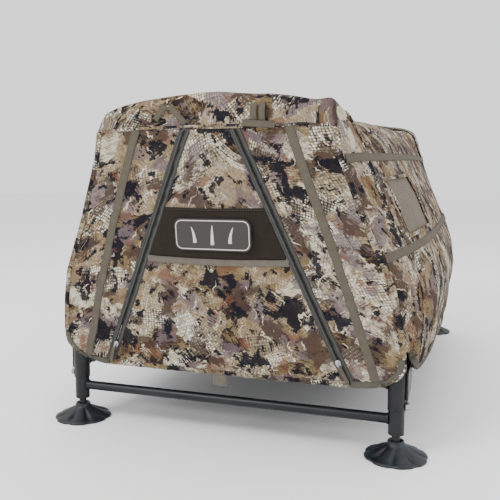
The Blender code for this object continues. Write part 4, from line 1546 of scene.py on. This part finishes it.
def make_bracket(tag, end, side):
    """Rounded plate welded to the sleeve, for the hoop's pivot."""
    near, far = BRACKET_X
    levels = ((0.0006, near), (0.0, near + 0.0005), (0.0, far - 0.0005), (0.0006, far))
    build = bmesh.new()
    join_rings(build, inset_rings(build, BRACKET_OUTLINE, Vector(BRACKET_MIDDLE), levels,
                                  lambda y, z, x: (side * x, end * y, z)))
    for z in TACK_HEIGHTS:
        spot = Matrix.Translation((side * (near + 0.001), end * TACK_Y, z))
        bmesh.ops.create_icosphere(build, subdivisions=2, radius=TACK_R,
                                   matrix=spot @ Matrix.Diagonal((0.5, 0.4, 2.2, 1)))
    steel_piece(f"hoop_bracket_plate_{tag}", build, "stand", f"hoop_bracket_{tag}", 30)


def make_pivot_bolt(tag, end, side):
    """Domed bolt through the bracket and the hoop's foot, with its washer and nut."""
    place = Matrix.Translation((0, end * PIVOT[1], PIVOT[2])) @ aim((side, 0, 0))
    dome = [(0, 0.0042), (0.0022, 0.0041), (0.0042, 0.0034), (0.0056, 0.0020), (0.0060, 0.0006),
            (0.0060, 0), (0.0030, 0), (0.0030, PIVOT_NUT - PIVOT_HEAD - 0.0030),
            (0, PIVOT_NUT - PIVOT_HEAD - 0.0030)]
    washer = [(0.0031, 0.0002), (0.0056, 0.0002), (0.0056, -0.0003), (0.0031, -0.0003)]
    nut = [(0.0028, -0.0004), (0.0060, -0.0004), (0.0060, -0.0036), (0.0052, -0.0043), (0.0028, -0.0043)]
    build = bmesh.new()
    for base, profile, wave in ((PIVOT_HEAD, dome, None), (PIVOT_NUT, washer, None),
                                (PIVOT_NUT, nut, hex_wave(0.0050))):
        lathe(build, [(radius, base + height) for radius, height in profile], place, wave=wave)
    zinc_piece(f"hoop_pivot_bolt_head_{tag}", build, "stand", f"hoop_pivot_bolt_{tag}")


def make_legs(end_word, end):
    """Cross tube of one end and the legs, studs and feet that it joins."""
    body = f"{end_word}_leg_frame"
    reach = LEG_X - LEG_R
    build = bmesh.new()
    sweep(build, [(x, end * LEG_Y, CROSS_Z) for x in (-reach, 0, reach)], CROSS_R)
    for side in (-1, 1):
        weld(build, Vector((side * (reach - 0.0005), end * LEG_Y, CROSS_Z)), ACROSS, CROSS_R)
    steel_piece(f"{end_word}_cross_tube_bar", build, body, f"{end_word}_cross_tube")
    for side_word, side in SIDES.items():
        tag = f"{end_word}_{side_word}"
        upright = Matrix.Translation((side * LEG_X, end * LEG_Y, 0))
        make_leg(tag, body, upright)
        make_stud(tag, upright)
        make_foot(tag, upright)


def make_leg(tag, body, upright):
    """Leg tube with the rubber plug in its top end."""
    bore, lip, low, high = 0.0114, 0.0004, 0.0400, 0.1830
    wall = [(bore, low + lip), (bore + lip, low), (LEG_R - lip, low), (LEG_R, low + lip), (LEG_R, high),
            (bore, high)]
    build = bmesh.new()
    lathe(build, wall, upright)
    steel_piece(f"leg_tube_wall_{tag}", build, body, f"leg_tube_{tag}")
    plug = [(0, 0.1870), (0.0070, 0.1866), (0.0108, 0.1854), (0.0124, 0.1834), (0.0126, 0.1820),
            (0.0112, 0.1820), (0.0110, 0.1750), (0, 0.1750)]
    build = bmesh.new()
    lathe(build, plug, upright)
    hard_piece(f"leg_cap_{tag}", build, "rubber", body)


def ball_arc(radius, angles):
    """(radius, height) points on a sphere about the foot's ball, at angles from its top."""
    turns = [math.radians(angle) for angle in angles]
    return [(radius * math.sin(turn), BALL_Z + radius * math.cos(turn)) for turn in turns]


def make_stud(tag, upright):
    """Plug in the leg's lower end, with its collar, neck and ball."""
    profile = [(0, 0.060), (0.0106, 0.060), (0.0111, 0.0592), (0.0111, 0.0397), (0.0123, 0.0397),
               (0.0127, 0.0392), (0.0127, 0.0372), (0.0122, 0.0367), (0.0067, 0.0367), (0.0066, 0.0270),
               *ball_arc(BALL_R, range(58, 171, 8)), (0, BALL_Z - BALL_R)]
    build = bmesh.new()
    lathe(build, profile, upright)
    steel_piece(f"foot_stud_neck_{tag}", build, f"foot_stud_{tag}", f"foot_stud_{tag}")


def petal(radius, height, angle):
    """Mud-foot petals: creases between the lobes, deepest half way out."""
    reach = min(max((radius - PETAL_FROM) / PETAL_REACH, 0), 1)
    crease = 0.5 + 0.5 * math.cos(PETALS * angle)
    groove = crease ** 4 * math.sin(math.pi * min(reach, 0.98)) * GROOVE_DEEP
    lobe = reach ** 3 * LOBE_OUT * (1 - crease ** 4)
    return radius - PETAL_IN * reach + lobe, max(height - groove * (height > 0.002), 0.0)


def make_foot(tag, upright):
    """Dished mud foot of eight petals with the socket of its ball joint."""
    top = [(0.0098, 0.0267), (0.0105, 0.0270), (0.0120, 0.0270), (0.0128, 0.0264), (0.0138, 0.0225),
           (0.0150, 0.0205), (0.0180, 0.0186), (0.0230, 0.0164), (0.0290, 0.0135), (0.0350, 0.0107),
           (0.0400, 0.0084), (0.0440, 0.0066), (0.0475, 0.0050), (0.0500, 0.0036), (0.0510, 0.0022),
           (0.0510, 0.0006), (0.0504, 0.0)]
    under = [(0.0470, 0.0), (0.0455, 0.0008), (0.0410, 0.0034), (0.0300, 0.0050), (0.0140, 0.0069),
             (0, 0.0069), (0, 0.0109)]
    socket = ball_arc(SOCKET_R, (160, 140, 120, 100, 80, 62))
    build = bmesh.new()
    lathe(build, top + under + socket, upright, 144, petal)
    hard_piece(f"mud_foot_pad_{tag}", build, "rubber", f"mud_foot_{tag}",
               (f"mud_foot_{tag}",), 30)


def make_hoop(end_word, end):
    """Bent hoop tube with tucked feet, following the hood's section."""
    top = end_height(end, HOOP_TOP[1])
    stretch = (top - PIVOT[2]) / (HOOP_TOP[1] - PIVOT[2])
    lean = (HOOP_TOP[0] - PIVOT[1]) / (top - PIVOT[2])
    line = []
    for (x, z), extra in zip(HOOP_SECTION, REAR_HOOP_SPREAD):
        height = z if z <= PIVOT[2] else PIVOT[2] + (z - PIVOT[2]) * stretch
        line.append((x + extra * (end > 0), end * (PIVOT[1] + lean * (height - PIVOT[2])), height))
    full = [(-x, y, z) for x, y, z in line] + list(reversed(line[:-1]))
    build = bmesh.new()
    sweep(build, [smooth_at(full, row) for row in np.linspace(0, len(full) - 1, 150)], HOOP_R, 24)
    steel_piece(f"{end_word}_hoop_tube", build, f"{end_word}_hoop_frame", f"{end_word}_hoop")


# ---------------------------------------------------------------- deck
NOTCH = 0.026
SLEEVE_WRAP = RAIL_R + 0.0012


def make_deck():
    """Mesh deck stretched between sleeves of the same cloth laced round the rails."""
    half_x, half_y = LEG_X - RAIL_R + 0.002, LEG_Y - RAIL_R + 0.002
    xs, ys = np.linspace(-half_x, half_x, 53), np.linspace(-half_y, half_y, 87)
    edge_x, edge_y = half_x - NOTCH, half_y - NOTCH
    rise = [max(abs(y) - edge_y, 0) / NOTCH * (END_RAIL_Z - RAIL_Z) for y in ys]
    sheet = Sheet("deck", [[(x, y, RAIL_Z + 0.0012 + lift) for x in xs] for y, lift in zip(ys, rise)])

    def keep(row, column):
        x, y = (xs[column] + xs[column + 1]) / 2, (ys[row] + ys[row + 1]) / 2
        return abs(x) < edge_x or abs(y) < edge_y

    def pinned(row, column, count, width):
        return float(min(row, count - 1 - row, column, width - 1 - column) < 2)
    sheet.cut_now(keep)
    settle(sheet, pinned, frames=16, slack=0.002, cap=0.003)
    cloth_piece("deck_cloth", sheet, "stand", ("mesh_deck",),
                "deck", "deck",
                thickness=0.0016)
    for word, end in ENDS.items():
        rail_sleeve(f"{word}_deck_sleeve", Vector((edge_x, 0, 0)), Vector((0, end * LEG_Y, END_RAIL_Z)))
    for word, side in SIDES.items():
        rail_sleeve(f"{word}_deck_sleeve", Vector((0, edge_y, 0)), Vector((side * LEG_X, 0, RAIL_Z)))


def rail_sleeve(name, half, centre):
    """Cloth sleeve of the deck round a rail, with its seam tucked underneath."""
    out = UP.cross(half.normalized())
    if centre.dot(out) <= 0:
        out = -out
    sides = 20
    build = bmesh.new()
    layer = build.loops.layers.uv.new("cloth")
    rings = []
    for share in np.linspace(-1, 1, 60):
        ring = []
        for step in range(sides):
            angle = 2 * math.pi * step / sides
            pucker = noise.noise(Vector((share * half.length * 45, angle * 1.2, half.x + centre.y)))
            away = (out * math.cos(angle) + UP * math.sin(angle)) * (SLEEVE_WRAP + 0.0006 * pucker)
            ring.append(build.verts.new(centre + half * share + away))
        rings.append((ring, share * half.length))
    map_quads(build, layer, rings, [step * 0.0035 for step in range(sides + 1)])
    bmesh.ops.recalc_face_normals(build, faces=build.faces)
    obj = link(name, finished_mesh(name, build), MATS["deck"], MATS["deck"])
    thicken(obj, 0.0009)
    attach(obj, "stand")
    stitch = [centre + half * share - out * (RAIL_R + 0.0026) + UP * 0.0052
              for share in np.linspace(-0.99, 0.99, 60)]
    ribbon(name.replace("sleeve", "hem"), (stitch, [UP] * 60), 0.012, "deck", "stand", 0.0012,
           lines=(-0.3, 0.3), thread="strap")


# ---------------------------------------------------------------- hood loops
HOOD_LOOPS = (((-0.071, 0.552), (-0.090, 0.531)), ((-0.063, 0.552), (-0.039, 0.525)),
              ((0.075, 0.551), (0.074, 0.523)), ((0.088, 0.550), (0.087, 0.523)),
              ((0.055, 0.523), (0.106, 0.519)))
LOOP_STEPS = 12


def make_hood_loops():
    """Short webbing loops sewn to the front hood for tucking in reeds."""
    outward = Vector((0, -1, -END_SLOPE)).normalized()
    for index, spots in enumerate(HOOD_LOOPS):
        points = []
        for step, (across, z) in enumerate(spread(spots, LOOP_STEPS)):
            swell = 0.004 * math.sin(math.pi * step / (LOOP_STEPS - 1))
            points.append(wall_point(-1, across, z, 0.0024) + outward * swell)
        ribbon(f"front_hood_loop_{index + 1}", (points, [outward] * LOOP_STEPS), 0.010, "strap",
               "front_hoop_frame", 0.0013)


# ---------------------------------------------------------------- build
def main():
    make_camera()
    make_stage()
    make_materials()
    make_rails()
    make_deck()
    for end_word, end in ENDS.items():
        for side_word, side in SIDES.items():
            make_corner(end_word, end, side_word, side)
        make_legs(end_word, end)
        make_hoop(end_word, end)
    make_shell()
    for end_word, end in ENDS.items():
        make_hood(end_word, end)
        for side_word, side in SIDES.items():
            make_panel(end_word, end, side_word, side)
        door = make_door(end_word, end)
        for side_word, side in SIDES.items():
            make_slider(end_word, end, side_word, side, door)
    make_hood_loops()


main()
